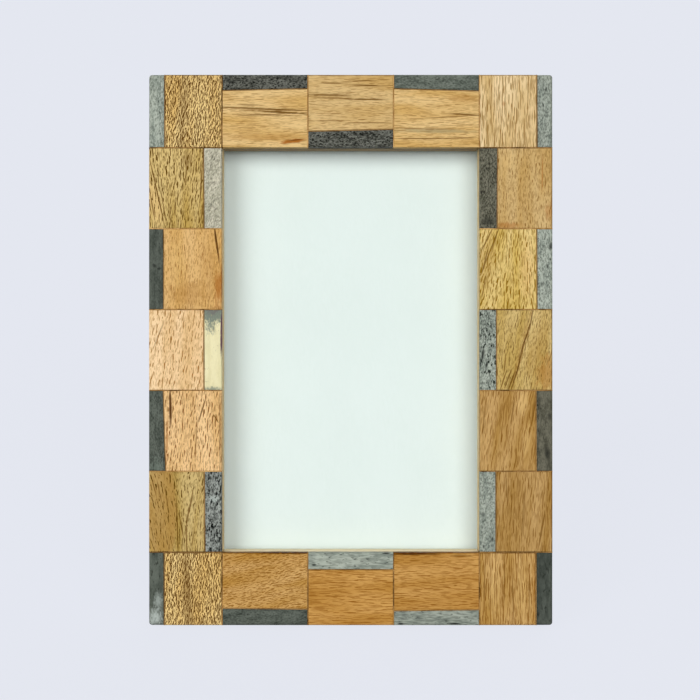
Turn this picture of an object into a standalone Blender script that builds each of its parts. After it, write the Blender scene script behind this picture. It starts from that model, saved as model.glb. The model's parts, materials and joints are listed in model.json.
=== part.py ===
"""Bone inlay picture frame standing on its easel leg.

Metres, +Z up, front towards -Y. The frame is modelled upright in the space of an empty called frame_stand:
its back plane is y = 0, its front faces -y and the table edge of its back plane is the empty's origin.
The empty then leans the frame back until the foot of the open leg reaches the same table.
"""

import math

import bmesh
import bpy
from mathutils import Matrix

MM = 0.001

# Photograph, window and rails
PHOTO_WIDTH = 101.6 * MM
PHOTO_HEIGHT = 152.4 * MM
PHOTO_OVERLAP = 6.35 * MM  # how far the lip covers the photograph on each side
RAIL_WIDTH = 25.4 * MM
LIP_DEPTH = 5.0 * MM  # base material in front of the rebate
CORNER_RADIUS = 1.0 * MM  # of the frame's four outer corners

# Layers in the rebate
GLASS_THICKNESS = 2.0 * MM
CARD_THICKNESS = 0.4 * MM
BOARD_THICKNESS = 3.0 * MM
PANE_CLEARANCE = 0.5 * MM  # between the rebate's wall and the edges of the layers

# Front mosaic
TILE_THICKNESS = 3.0 * MM
TILE_JOINT = 0.3 * MM  # width of the joint between two pieces
TILE_EASE = 0.2 * MM  # sanded front edge at a joint or at the window
RIM_EASE = 0.8 * MM  # sanded front edge along the outside of the frame
COLUMN_COURSES = 5
RAIL_COURSES = 3

# Fits
FIT_GAP = 0.3 * MM  # between pieces that lie on each other
RUN_GAP = 0.3 * MM  # round a pin, a shank or a turning piece

# Standing angles
LEAN_ANGLE = math.radians(16.0)  # of the frame from the vertical
OPEN_ANGLE = math.radians(30.0)  # of the leg from the back board

# Easel leg
HINGE_HEIGHT = 118.0 * MM  # pin above the frame's lower edge, along the back
LEG_THICKNESS = 3.0 * MM
LEG_TOP_WIDTH = 42.0 * MM
LEG_FOOT_WIDTH = 30.0 * MM

# Easel hinge
PIN_RADIUS = 1.2 * MM
PIN_PROUD = 0.8 * MM  # pin past each ear
SHEET_THICKNESS = 0.8 * MM  # of the hinge's pressed steel
EAR_RADIUS = 3.4 * MM
EAR_INSET = 0.5 * MM  # plate outside each ear
PLATE_WIDTH = 24.0 * MM
PLATE_RISE = 19.0 * MM  # plate above the pin
LEAF_LENGTH = 24.0 * MM  # leaf below the pin

# Turn buttons and their screws
BUTTON_THICKNESS = 1.2 * MM
BUTTON_PIVOT_RADIUS = 5.2 * MM
BUTTON_TIP_RADIUS = 3.4 * MM
BUTTON_OVERLAP = 5.0 * MM  # of the tip on the back board
BUTTON_SPACING = 92.0 * MM  # between the two buttons of a stile
SCREW_HEAD_RADIUS = 3.2 * MM
SCREW_HEAD_HEIGHT = 1.7 * MM
SCREW_RIM_HEIGHT = 0.5 * MM
SCREW_SHANK_RADIUS = 1.5 * MM
SCREW_DEPTH = 7.5 * MM  # shank inside the stile
SCREW_POINT = 2.0 * MM
SCREW_SLOT_WIDTH = 0.8 * MM
SCREW_SLOT_DEPTH = 0.8 * MM

# Sawtooth hanger
HANGER_LENGTH = 44.0 * MM
HANGER_HEIGHT = 9.0 * MM
HANGER_THICKNESS = 0.8 * MM
HANGER_RISE = 2.4 * MM  # of the bowed middle above the flat ends
HANGER_END = 8.0 * MM  # each flat end
HANGER_RAMP = 3.0 * MM
HANGER_NAIL_RADIUS = 0.9 * MM
TOOTH_PITCH = 2.4 * MM
TOOTH_DEPTH = 1.6 * MM

# Facets and cutters
CIRCLE_STEPS = 24
DOME_STEPS = 4
CORNER_STEPS = 4
EASE_STEPS = 3
SHARP_ANGLE = math.radians(30.0)
WELD_DISTANCE = 0.001 * MM
CUT_MARGIN = 1.0 * MM  # cutter past the face that it opens

# Sizes that follow from the ones above
OPENING_WIDTH = PHOTO_WIDTH - 2 * PHOTO_OVERLAP
OPENING_HEIGHT = PHOTO_HEIGHT - 2 * PHOTO_OVERLAP
OUTER_WIDTH = OPENING_WIDTH + 2 * RAIL_WIDTH
OUTER_HEIGHT = OPENING_HEIGHT + 2 * RAIL_WIDTH
REBATE_WIDTH = PHOTO_OVERLAP + PANE_CLEARANCE
REBATE_DEPTH = GLASS_THICKNESS + CARD_THICKNESS + BOARD_THICKNESS + 3 * FIT_GAP
BASE_DEPTH = LIP_DEPTH + REBATE_DEPTH
BACK_STRIP = RAIL_WIDTH - REBATE_WIDTH  # width of a rail behind the rebate
TILE_BACK = -BASE_DEPTH - FIT_GAP
TILE_FRONT = TILE_BACK - TILE_THICKNESS
MIDDLE_HEIGHT = OUTER_HEIGHT / 2

BARREL_RADIUS = PIN_RADIUS + RUN_GAP + SHEET_THICKNESS
LEG_REAR = BARREL_RADIUS - SHEET_THICKNESS - FIT_GAP  # leg's rear face, from the pin's axis
LEG_FRONT = LEG_REAR - LEG_THICKNESS
PLATE_REAR = FIT_GAP + SHEET_THICKNESS
PIN_OFFSET = max(PLATE_REAR + RUN_GAP + BARREL_RADIUS, FIT_GAP - LEG_FRONT)  # axis behind the back plane
EAR_OUTER = PLATE_WIDTH / 2 - EAR_INSET
EAR_INNER = EAR_OUTER - SHEET_THICKNESS
LEAF_WIDTH = 2 * (EAR_INNER - RUN_GAP)
NOTCH_HALF = max(EAR_OUTER + PIN_PROUD, PLATE_WIDTH / 2) + RUN_GAP
NOTCH_DEPTH = max(EAR_RADIUS, BARREL_RADIUS) + RUN_GAP
SHOULDER_RISE = (PIN_OFFSET - FIT_GAP + LEG_FRONT * math.cos(OPEN_ANGLE)) / math.sin(OPEN_ANGLE)
FOOT_ANGLE = OPEN_ANGLE - LEAN_ANGLE  # of the open leg from the vertical
PIN_DROP = HINGE_HEIGHT * math.cos(LEAN_ANGLE) - PIN_OFFSET * math.sin(LEAN_ANGLE)  # pin above the table
LEG_LENGTH = PIN_DROP / math.cos(FOOT_ANGLE)

BUTTON_X = OUTER_WIDTH / 2 - BACK_STRIP / 2
BUTTON_REACH = BACK_STRIP / 2 + PANE_CLEARANCE + BUTTON_OVERLAP - BUTTON_TIP_RADIUS
BUTTON_REAR = FIT_GAP + BUTTON_THICKNESS
SCREW_SEAT = BUTTON_REAR + FIT_GAP

# Planes of flat outlines: where the outline's own x, y and z go
FACING_BACK = Matrix(((1, 0, 0, 0), (0, 0, -1, 0), (0, 1, 0, 0), (0, 0, 0, 1)))
FACING_SIDE = Matrix(((0, 0, 1, 0), (1, 0, 0, 0), (0, 1, 0, 0), (0, 0, 0, 1)))
FACING_UP = Matrix.Identity(4)
AXIS_REARWARD = Matrix.Rotation(-math.pi / 2, 4, "X")
AXIS_SIDEWAYS = Matrix.Rotation(math.pi / 2, 4, "Y")


# Scene, collections and materials


def clear_scene():
    """Remove every object of the startup scene."""
    for obj in list(bpy.data.objects):
        bpy.data.objects.remove(obj, do_unlink=True)


def new_collection(name):
    """Make a collection in the scene."""
    collection = bpy.data.collections.new(name)
    bpy.context.scene.collection.children.link(collection)
    return collection


def linear_colour(hex_code):
    """Turn a #rrggbb screen colour into the linear values that a shader takes."""
    levels = [int(hex_code[i : i + 2], 16) / 255 for i in (1, 3, 5)]
    return [((level + 0.055) / 1.055) ** 2.4 if level > 0.04045 else level / 12.92 for level in levels]


def new_material(name, hex_code, roughness, metallic=0.0, alpha=1.0):
    """Make a Principled material with a plain colour."""
    material = bpy.data.materials.new(name)
    material.use_nodes = True
    shader = material.node_tree.nodes["Principled BSDF"]
    shader.inputs["Base Color"].default_value = (*linear_colour(hex_code), 1.0)
    shader.inputs["Roughness"].default_value = roughness
    shader.inputs["Metallic"].default_value = metallic
    shader.inputs["Alpha"].default_value = alpha
    return material


clear_scene()
PARTS = new_collection("bone_inlay_picture_frame")
CUTTERS = new_collection("cutters")

WOODS = {
    "golden": new_material("wood_golden", "#ba9860", 0.45),
    "pale": new_material("wood_pale", "#e0ba84", 0.45),
    "tan": new_material("wood_tan", "#cdaa6e", 0.45),
    "honey": new_material("wood_honey", "#b5894c", 0.45),
    "olive": new_material("wood_olive", "#b59758", 0.45),
}
BONES = {
    "light": new_material("bone_light", "#949b90", 0.4),
    "middle": new_material("bone_middle", "#7e837c", 0.4),
    "dark": new_material("bone_dark", "#565a52", 0.4),
    "cream": new_material("bone_cream", "#e0d8b0", 0.4),
}
FIBREBOARD = new_material("fibreboard", "#a98a5e", 0.75)
CLEAR_GLASS = new_material("clear_glass", "#f2f7f5", 0.05, alpha=0.15)
WHITE_CARD = new_material("white_card", "#e6f1ed", 0.7)
BLACK_BOARD = new_material("black_board", "#1e1d1c", 0.9)
STEEL = new_material("zinc_plated_steel", "#bdbdba", 0.35, metallic=1.0)

# Each hand-cut course: the tone of its wood tile, the tone of its bone strip, and the strip's width at its
# two ends, from top to bottom or from left to right
COURSES = {
    "corner_top_left": ("golden", "light", 5.6 * MM, 5.6 * MM),
    "top_1": ("tan", "dark", 5.6 * MM, 5.0 * MM),
    "top_2": ("tan", "dark", 5.7 * MM, 6.4 * MM),
    "top_3": ("tan", "dark", 5.0 * MM, 5.8 * MM),
    "corner_top_right": ("tan", "light", 5.6 * MM, 5.5 * MM),
    "left_1": ("golden", "light", 6.4 * MM, 6.2 * MM),
    "left_2": ("tan", "dark", 5.2 * MM, 5.2 * MM),
    "left_3": ("pale", "cream", 6.3 * MM, 6.2 * MM),
    "left_4": ("pale", "dark", 5.1 * MM, 5.9 * MM),
    "left_5": ("olive", "middle", 6.1 * MM, 5.9 * MM),
    "right_1": ("golden", "dark", 6.3 * MM, 6.1 * MM),
    "right_2": ("olive", "light", 5.6 * MM, 5.5 * MM),
    "right_3": ("olive", "middle", 5.9 * MM, 5.9 * MM),
    "right_4": ("honey", "dark", 5.8 * MM, 5.7 * MM),
    "right_5": ("honey", "light", 5.7 * MM, 5.7 * MM),
    "corner_bottom_left": ("golden", "dark", 5.4 * MM, 5.4 * MM),
    "bottom_1": ("honey", "dark", 6.0 * MM, 5.7 * MM),
    "bottom_2": ("honey", "light", 6.0 * MM, 6.0 * MM),
    "bottom_3": ("honey", "middle", 5.1 * MM, 5.5 * MM),
    "corner_bottom_right": ("honey", "dark", 5.8 * MM, 5.8 * MM),
}
SPARE_COURSE = ("golden", "light", 5.7 * MM, 5.7 * MM)


# Modelling helpers


def new_empty(name, parent=None, location=(0, 0, 0), turn=0.0):
    """Make an empty, turned about its own X axis."""
    empty = bpy.data.objects.new(name, None)
    PARTS.objects.link(empty)
    empty.parent = parent
    empty.location = location
    empty.rotation_euler = (turn, 0, 0)
    return empty


def new_object(name, mesh, material, parent, location=(0, 0, 0)):
    """Put a mesh in the scene, as a part, or as a cutter where it has no material."""
    obj = bpy.data.objects.new(name, mesh)
    (PARTS if material else CUTTERS).objects.link(obj)
    obj.parent = parent
    obj.location = location
    if material:
        mesh.materials.append(material)
    else:
        obj.hide_render = True
        obj.display_type = "WIRE"
    return obj


def mesh_from(name, build):
    """Make a mesh with a bmesh that build(bm) fills."""
    bm = bmesh.new()
    build(bm)
    mesh = bpy.data.meshes.new(name)
    bm.to_mesh(mesh)
    bm.free()
    return mesh


def shade_round(mesh):
    """Shade a round piece smooth and keep its corners sharp."""
    mesh.shade_smooth()
    mesh.set_sharp_from_angle(angle=SHARP_ANGLE)


def block(name, x, y, z, material, parent, corners=()):
    """Make a box from its ranges along x, y and z, with some of its upright corners rounded.

    Each rounded corner is given as the signs of its x and z, seen from the middle of the box.
    """
    size = [high - low for low, high in (x, y, z)]
    centre = [(high + low) / 2 for low, high in (x, y, z)]

    def build(bm):
        bmesh.ops.create_cube(bm, size=1.0, matrix=Matrix.Diagonal((*size, 1)))
        rounded = []
        for edge in bm.edges:
            signs = [(math.copysign(1, vert.co.x), math.copysign(1, vert.co.z)) for vert in edge.verts]
            if signs[0] == signs[1] and signs[0] in corners:
                rounded.append(edge)
        if rounded:
            bmesh.ops.bevel(
                bm, geom=rounded, offset=CORNER_RADIUS, segments=CORNER_STEPS, profile=0.5, affect="EDGES"
            )

    return new_object(name, mesh_from(name, build), material, parent, centre)


def rod(name, radius, length, axis, material, parent, location):
    """Make a round rod centred on its location, with its length along the axis that the matrix gives."""
    size = {"radius1": radius, "radius2": radius, "depth": length}

    def build(bm):
        bmesh.ops.create_cone(bm, cap_ends=True, segments=CIRCLE_STEPS, matrix=axis, **size)

    mesh = mesh_from(name, build)
    shade_round(mesh)
    return new_object(name, mesh, material, parent, location)


def arc(centre, radius, start, end):
    """Points of an arc from one angle to another, both included."""
    steps = max(2, math.ceil(abs(end - start) / math.tau * CIRCLE_STEPS))
    angles = [start + (end - start) * i / steps for i in range(steps + 1)]
    return [(centre[0] + radius * math.cos(a), centre[1] + radius * math.sin(a)) for a in angles]


def circle(centre, radius):
    """Points of a full circle, each once."""
    return arc(centre, radius, 0.0, math.tau)[:-1]


def outline(name, loops, thickness, plane, material, parent, location=(0, 0, 0)):
    """Make a flat piece from an outline and any holes in it, centred on its thickness."""
    curve = bpy.data.curves.new(name, "CURVE")
    curve.dimensions = "2D"
    curve.fill_mode = "BOTH"
    curve.extrude = thickness / 2
    for points in loops:
        spline = curve.splines.new("POLY")
        spline.points.add(len(points) - 1)
        for point, (x, y) in zip(spline.points, points):
            point.co = (x, y, 0, 1)
        spline.use_cyclic_u = True
    drawn = bpy.data.objects.new(name + "_outline", curve)
    CUTTERS.objects.link(drawn)
    graph = bpy.context.evaluated_depsgraph_get()
    mesh = bpy.data.meshes.new_from_object(drawn.evaluated_get(graph))
    bpy.data.objects.remove(drawn, do_unlink=True)
    bpy.data.curves.remove(curve)
    bm = bmesh.new()
    bm.from_mesh(mesh)
    bmesh.ops.remove_doubles(bm, verts=bm.verts, dist=WELD_DISTANCE)
    bmesh.ops.recalc_face_normals(bm, faces=bm.faces)
    bm.to_mesh(mesh)
    bm.free()
    mesh.name = name
    mesh.materials.clear()
    mesh.transform(plane)
    shade_round(mesh)
    return new_object(name, mesh, material, parent, location)


def turned(name, profile, axis, material, parent, location):
    """Make a turned piece from (radius, height) points that run down its outer side."""
    mesh = bpy.data.meshes.new(name)
    points = [(radius, 0, height) for radius, height in profile]
    mesh.from_pydata(points, [(i, i + 1) for i in range(len(points) - 1)], [])
    obj = new_object(name, mesh, material, parent, location)
    obj.rotation_euler = axis.to_euler()
    screw = obj.modifiers.new("turned", "SCREW")
    screw.steps = screw.render_steps = CIRCLE_STEPS
    screw.use_merge_vertices = True
    screw.merge_threshold = WELD_DISTANCE
    screw.use_smooth_shade = True
    return obj


def combine(obj, other, operation="DIFFERENCE"):
    """Cut another mesh out of a piece, or join it on."""
    boolean = obj.modifiers.new(other.name, "BOOLEAN")
    boolean.object = other
    boolean.operation = operation


# Front mosaic


def mosaic_courses():
    """Give each course's name, its x and z ranges and the side of its bone strip."""
    window_top = OUTER_HEIGHT - RAIL_WIDTH
    columns = (
        ("left", (-OUTER_WIDTH / 2, -OPENING_WIDTH / 2), ("left", "right")),
        ("right", (OPENING_WIDTH / 2, OUTER_WIDTH / 2), ("right", "left")),
    )
    for column, x, sides in columns:
        yield f"corner_top_{column}", x, (window_top, OUTER_HEIGHT), sides[0]
        yield f"corner_bottom_{column}", x, (0.0, RAIL_WIDTH), sides[0]
        height = OPENING_HEIGHT / COLUMN_COURSES
        for i in range(COLUMN_COURSES):
            top = window_top - i * height
            yield f"{column}_{i + 1}", x, (top - height, top), sides[(i + 1) % 2]
    rails = (
        ("top", (window_top, OUTER_HEIGHT), ("top", "bottom")),
        ("bottom", (0.0, RAIL_WIDTH), ("bottom", "top")),
    )
    width = OPENING_WIDTH / RAIL_COURSES
    for rail, z, sides in rails:
        for i in range(RAIL_COURSES):
            start = -OPENING_WIDTH / 2 + i * width
            yield f"{rail}_{i + 1}", (start, start + width), z, sides[i % 2]


def split_course(x, z, side, bone_width):
    """Split a course into the ranges of its wood tile and of its bone strip."""
    if side == "left":
        return ((x[0] + bone_width, x[1]), z), ((x[0], x[0] + bone_width), z)
    if side == "right":
        return ((x[0], x[1] - bone_width), z), ((x[1] - bone_width, x[1]), z)
    if side == "top":
        return (x, (z[0], z[1] - bone_width)), (x, (z[1] - bone_width, z[1]))
    return (x, (z[0] + bone_width, z[1])), (x, (z[0], z[0] + bone_width))


def inset(span):
    """Draw a range in by half a joint at each end."""
    return span[0] + TILE_JOINT / 2, span[1] - TILE_JOINT / 2


def slant_joint(tile, facing, taper):
    """Slant the tile's side that faces its course's joint, by the taper of the bone strip along the joint.

    The taper is how much further the joint lies to the right, or up, at the tile's upper or right end.
    """
    along, across = (2, 0) if facing in ("left", "right") else (0, 2)
    sign = 1 if facing in ("right", "top") else -1
    length = tile.dimensions[along]
    for vert in tile.data.vertices:
        if vert.co[across] * sign > 0:
            vert.co[across] += taper * vert.co[along] / length


def outer_corners(x, z):
    """Find the corners of a piece that are corners of the whole frame."""
    sides = [sign for sign, edge in ((-1, -x[0]), (1, x[1])) if edge > OUTER_WIDTH / 2 - TILE_JOINT]
    ends = [sign for sign, edge in ((-1, -z[0]), (1, z[1] - OUTER_HEIGHT)) if edge > -TILE_JOINT]
    return [(side, end) for side in sides for end in ends]


def ease_front_edges(tile):
    """Sand the front edges of a tile, most of all along the outside of the frame."""
    width = max(TILE_EASE, RIM_EASE)
    mesh = tile.data
    weights = mesh.attributes.new("bevel_weight_edge", "FLOAT", "EDGE").data
    for edge, weight in zip(mesh.edges, weights):
        ends = [tile.location + mesh.vertices[i].co for i in edge.vertices]
        if all(end.y < TILE_BACK - TILE_THICKNESS / 2 for end in ends):
            rims = [min(OUTER_WIDTH / 2 - abs(end.x), end.z, OUTER_HEIGHT - end.z) for end in ends]
            outside = max(rims) < CORNER_RADIUS + TILE_JOINT
            weight.value = (RIM_EASE if outside else TILE_EASE) / width
    bevel = tile.modifiers.new("sanded_edges", "BEVEL")
    bevel.width = width
    bevel.segments = EASE_STEPS
    bevel.limit_method = "WEIGHT"


def build_mosaic(stand):
    """Lay every wood tile and bone strip on the base frame."""
    depth = (TILE_FRONT, TILE_BACK)
    opposite = {"left": "right", "right": "left", "top": "bottom", "bottom": "top"}
    for name, x, z, side in mosaic_courses():
        wood_tone, bone_tone, first_width, last_width = COURSES.get(name, SPARE_COURSE)
        wood, bone = split_course(x, z, side, (first_width + last_width) / 2)
        narrowing = first_width - last_width
        taper = narrowing if side in ("left", "top") else -narrowing
        tiles = (
            ("wood_tile", wood, WOODS[wood_tone], side),
            ("bone_strip", bone, BONES[bone_tone], opposite[side]),
        )
        for kind, (across, up), material, facing in tiles:
            corners = outer_corners(across, up)
            tile = block(f"{kind}_{name}", inset(across), depth, inset(up), material, stand, corners)
            slant_joint(tile, facing, taper)
            ease_front_edges(tile)


# Base frame, with half laps at the corners and a rebate round the window


def screw_places():
    """Give the name and the x and z of each turn button's screw, and the way its button points."""
    for side, sign in (("left", -1), ("right", 1)):
        for level, rise in (("upper", 0.5), ("lower", -0.5)):
            yield f"{side}_{level}", sign * BUTTON_X, MIDDLE_HEIGHT + rise * BUTTON_SPACING, -sign


def build_stile(side, sign, stand):
    """Make a stile, full height in front of the laps, and drill it for its two screws."""
    outer, window = sign * OUTER_WIDTH / 2, sign * OPENING_WIDTH / 2
    depth = (-REBATE_DEPTH, CUT_MARGIN)
    name = f"{side}_stile"
    x, z = sorted((outer, window)), (0.0, OUTER_HEIGHT)
    stile = block(name, x, (-BASE_DEPTH, 0.0), z, FIBREBOARD, stand, outer_corners(x, z))
    rebate_x = sorted((window - sign * CUT_MARGIN, window + sign * REBATE_WIDTH))
    rebate_z = (-CUT_MARGIN, OUTER_HEIGHT + CUT_MARGIN)
    combine(stile, block(f"{name}_rebate", rebate_x, depth, rebate_z, None, stand))
    lap_x = sorted((window - sign * CUT_MARGIN, outer + sign * CUT_MARGIN))
    lap_height = BACK_STRIP + FIT_GAP
    laps = (
        ("lower", (-CUT_MARGIN, lap_height)),
        ("upper", (OUTER_HEIGHT - lap_height, OUTER_HEIGHT + CUT_MARGIN)),
    )
    for end, lap_z in laps:
        combine(stile, block(f"{name}_{end}_lap", lap_x, depth, lap_z, None, stand))
    for place, screw_x, screw_z, _ in screw_places():
        if place.startswith(side):
            length = SCREW_DEPTH + RUN_GAP + CUT_MARGIN
            centre = (screw_x, CUT_MARGIN - length / 2, screw_z)
            radius = SCREW_SHANK_RADIUS + RUN_GAP
            combine(stile, rod(f"{place}_drill", radius, length, AXIS_REARWARD, None, stand, centre))


def build_rail(side, low, stand):
    """Make a rail, full width behind the laps; low is the height of its lower face."""
    name = f"{side}_rail"
    high = low + RAIL_WIDTH
    half = OUTER_WIDTH / 2
    x, z = (-half, half), (low, high)
    rail = block(name, x, (-BASE_DEPTH, 0.0), z, FIBREBOARD, stand, outer_corners(x, z))
    if side == "bottom":
        rebate_z = (high - REBATE_WIDTH, high + CUT_MARGIN)
    else:
        rebate_z = (low - CUT_MARGIN, low + REBATE_WIDTH)
    rebate_x = (-half - CUT_MARGIN, half + CUT_MARGIN)
    combine(rail, block(f"{name}_rebate", rebate_x, (-REBATE_DEPTH, CUT_MARGIN), rebate_z, None, stand))
    lap_y = (-BASE_DEPTH - CUT_MARGIN, -REBATE_DEPTH + FIT_GAP)
    lap_z = (low - CUT_MARGIN, high + CUT_MARGIN)
    for end, sign in (("left", -1), ("right", 1)):
        lap_x = sorted((sign * (OPENING_WIDTH / 2 - FIT_GAP), sign * (half + CUT_MARGIN)))
        combine(rail, block(f"{name}_{end}_lap", lap_x, lap_y, lap_z, None, stand))


def build_base(stand):
    """Make the four members of the base frame."""
    build_stile("left", -1, stand)
    build_stile("right", 1, stand)
    build_rail("bottom", 0.0, stand)
    build_rail("top", OUTER_HEIGHT - RAIL_WIDTH, stand)


# Glass, card and back board, one behind the other in the rebate


def build_layers(stand):
    """Stack the glass, the card and the back board behind the lip."""
    x = (-PHOTO_WIDTH / 2, PHOTO_WIDTH / 2)
    z = (MIDDLE_HEIGHT - PHOTO_HEIGHT / 2, MIDDLE_HEIGHT + PHOTO_HEIGHT / 2)
    layers = (
        ("glass_pane", GLASS_THICKNESS, CLEAR_GLASS),
        ("photo_card", CARD_THICKNESS, WHITE_CARD),
        ("back_board", BOARD_THICKNESS, BLACK_BOARD),
    )
    front = -REBATE_DEPTH
    for name, thickness, material in layers:
        front += FIT_GAP
        block(name, x, (front, front + thickness), z, material, stand)
        front += thickness


# Turn buttons and screws


def button_outline(direction):
    """Outline of a button that tapers from its pivot to a round tip on the left (-1) or the right (1)."""
    tangent = math.acos((BUTTON_PIVOT_RADIUS - BUTTON_TIP_RADIUS) / BUTTON_REACH)
    points = arc((0, 0), BUTTON_PIVOT_RADIUS, tangent, math.tau - tangent)
    points += arc((BUTTON_REACH, 0), BUTTON_TIP_RADIUS, -tangent, tangent)
    return [(direction * x, y) for x, y in points]


def screw_profile():
    """Profile of a round-headed screw from its crown to its point, with the head's seat at height 0."""
    crown = SCREW_HEAD_HEIGHT - SCREW_RIM_HEIGHT
    dome = []
    for i in range(DOME_STEPS + 1):
        angle = math.pi / 2 * i / DOME_STEPS
        dome.append((SCREW_HEAD_RADIUS * math.sin(angle), SCREW_RIM_HEIGHT + crown * math.cos(angle)))
    tip = -SCREW_SEAT - SCREW_DEPTH
    shank = [(SCREW_SHANK_RADIUS, 0.0), (SCREW_SHANK_RADIUS, tip + SCREW_POINT), (0.0, tip)]
    return dome + [(SCREW_HEAD_RADIUS, 0.0)] + shank


def build_turn_buttons(stand):
    """Make each turn button on its screw, closed over the back board's edge."""
    hole = circle((0, 0), SCREW_SHANK_RADIUS + RUN_GAP)
    for place, x, z, direction in screw_places():
        middle = (x, FIT_GAP + BUTTON_THICKNESS / 2, z)
        loops = (button_outline(direction), hole)
        outline(f"turn_button_{place}", loops, BUTTON_THICKNESS, FACING_BACK, STEEL, stand, middle)
        screw = turned(f"screw_{place}", screw_profile(), AXIS_REARWARD, STEEL, stand, (x, SCREW_SEAT, z))
        slot_floor = SCREW_SEAT + SCREW_HEAD_HEIGHT - SCREW_SLOT_DEPTH
        slot_top = SCREW_SEAT + SCREW_HEAD_HEIGHT + CUT_MARGIN
        slot_x = (x - SCREW_HEAD_RADIUS - CUT_MARGIN, x + SCREW_HEAD_RADIUS + CUT_MARGIN)
        slot_z = (z - SCREW_SLOT_WIDTH / 2, z + SCREW_SLOT_WIDTH / 2)
        combine(screw, block(f"{place}_slot", slot_x, (slot_floor, slot_top), slot_z, None, stand))


# Easel hinge and leg


def build_hinge(stand, swing):
    """Make the plate with its two ears and the pin on the frame, and the rolled leaf on the leg."""
    half = PLATE_WIDTH / 2
    plate_z = (HINGE_HEIGHT - EAR_RADIUS, HINGE_HEIGHT + PLATE_RISE)
    plate = block("hinge_plate", (-half, half), (FIT_GAP, PLATE_REAR), plate_z, STEEL, stand)
    ear_root = FIT_GAP + SHEET_THICKNESS / 2
    ear = [(ear_root, -EAR_RADIUS)]
    ear += arc((PIN_OFFSET, 0), EAR_RADIUS, -math.pi / 2, math.pi / 2)
    ear += [(ear_root, EAR_RADIUS)]
    hole = circle((PIN_OFFSET, 0), PIN_RADIUS + RUN_GAP)
    for side, sign in (("left", -1), ("right", 1)):
        place = (sign * (EAR_INNER + SHEET_THICKNESS / 2), 0, HINGE_HEIGHT)
        tab = outline(f"hinge_ear_{side}", (ear, hole), SHEET_THICKNESS, FACING_SIDE, None, stand, place)
        combine(plate, tab, "UNION")

    pin_length = 2 * (EAR_OUTER + PIN_PROUD)
    rod("hinge_pin", PIN_RADIUS, pin_length, AXIS_SIDEWAYS, STEEL, stand, (0, PIN_OFFSET, HINGE_HEIGHT))

    inner_face = BARREL_RADIUS - SHEET_THICKNESS
    seam = math.acos(inner_face / BARREL_RADIUS)
    leaf = [(BARREL_RADIUS, -LEAF_LENGTH)]
    leaf += arc((0, 0), BARREL_RADIUS, 0.0, math.tau - seam)
    leaf += [(inner_face, -LEAF_LENGTH)]
    bore = circle((0, 0), PIN_RADIUS + RUN_GAP)
    outline("hinge_leaf", (leaf, bore), LEAF_WIDTH, FACING_SIDE, STEEL, swing)


def build_leg(swing):
    """Make the tapered leg, with a notch for the hinge, shoulders that stop it open and a level foot."""
    top, foot = LEG_TOP_WIDTH / 2, LEG_FOOT_WIDTH / 2
    uncut = LEG_LENGTH + LEG_THICKNESS
    right = [(foot, -uncut), (top, -NOTCH_DEPTH), (top, SHOULDER_RISE), (NOTCH_HALF, SHOULDER_RISE)]
    right += [(NOTCH_HALF, -NOTCH_DEPTH)]
    points = right + [(-x, z) for x, z in reversed(right)]
    place = (0, (LEG_FRONT + LEG_REAR) / 2, 0)
    leg = outline("easel_leg", (points,), LEG_THICKNESS, FACING_BACK, BLACK_BOARD, swing, place)
    level = new_empty("table_level", swing, turn=-FOOT_ANGLE)
    below = (-PIN_DROP - 4 * LEG_THICKNESS, -PIN_DROP)
    trim_x = (-top - CUT_MARGIN, top + CUT_MARGIN)
    combine(leg, block("foot_trim", trim_x, (-LEG_LENGTH, LEG_LENGTH), below, None, level))


# Sawtooth hanger


def build_hanger(stand):
    """Make the bowed steel strip on the top rail and cut its teeth and nail holes."""
    half = HANGER_LENGTH / 2
    ramp_start, ramp_end = half - HANGER_END, half - HANGER_END - HANGER_RAMP
    seat = FIT_GAP
    crest = FIT_GAP + HANGER_RISE
    under = [(half, seat), (ramp_start, seat), (ramp_end, crest)]
    under += [(-x, y) for x, y in reversed(under)]
    over = [(x, y + HANGER_THICKNESS) for x, y in reversed(under)]
    middle = OUTER_HEIGHT - BACK_STRIP / 2
    strip = (under + over,)
    hanger = outline("sawtooth_hanger", strip, HANGER_HEIGHT, FACING_UP, STEEL, stand, (0, 0, middle))

    low_edge = -HANGER_HEIGHT / 2
    count = int(2 * ramp_end / TOOTH_PITCH)
    start = -count * TOOTH_PITCH / 2
    teeth = [(start, low_edge - CUT_MARGIN)]
    for i in range(count):
        left = start + i * TOOTH_PITCH
        teeth += [(left, low_edge), (left + TOOTH_PITCH / 2, low_edge + TOOTH_DEPTH)]
    teeth += [(-start, low_edge), (-start, low_edge - CUT_MARGIN)]
    reach = 2 * (crest + HANGER_THICKNESS + CUT_MARGIN)
    combine(hanger, outline("hanger_teeth", (teeth,), reach, FACING_BACK, None, stand, (0, 0, middle)))
    for side, sign in (("left", -1), ("right", 1)):
        place = (sign * (half - HANGER_END / 2), 0, middle)
        drill = rod(f"hanger_nail_{side}", HANGER_NAIL_RADIUS, reach, AXIS_REARWARD, None, stand, place)
        combine(hanger, drill)


# Whole frame


def middle_of_depth():
    """Middle of the leaning frame's depth, between the lower front edge and the heel of the foot."""
    front_edge = TILE_FRONT * math.cos(LEAN_ANGLE)
    pin = PIN_OFFSET * math.cos(LEAN_ANGLE) + HINGE_HEIGHT * math.sin(LEAN_ANGLE)
    heel = pin + PIN_DROP * math.tan(FOOT_ANGLE) + LEG_REAR / math.cos(FOOT_ANGLE)
    return (front_edge + heel) / 2


def main():
    """Build the frame upright, open its leg, and lean it back on the table."""
    stand = new_empty("frame_stand", location=(0, -middle_of_depth(), 0), turn=-LEAN_ANGLE)
    swing = new_empty("leg_swing", stand, (0, PIN_OFFSET, HINGE_HEIGHT), OPEN_ANGLE)
    build_mosaic(stand)
    build_base(stand)
    build_layers(stand)
    build_turn_buttons(stand)
    build_hinge(stand, swing)
    build_leg(swing)
    build_hanger(stand)


main()
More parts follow.
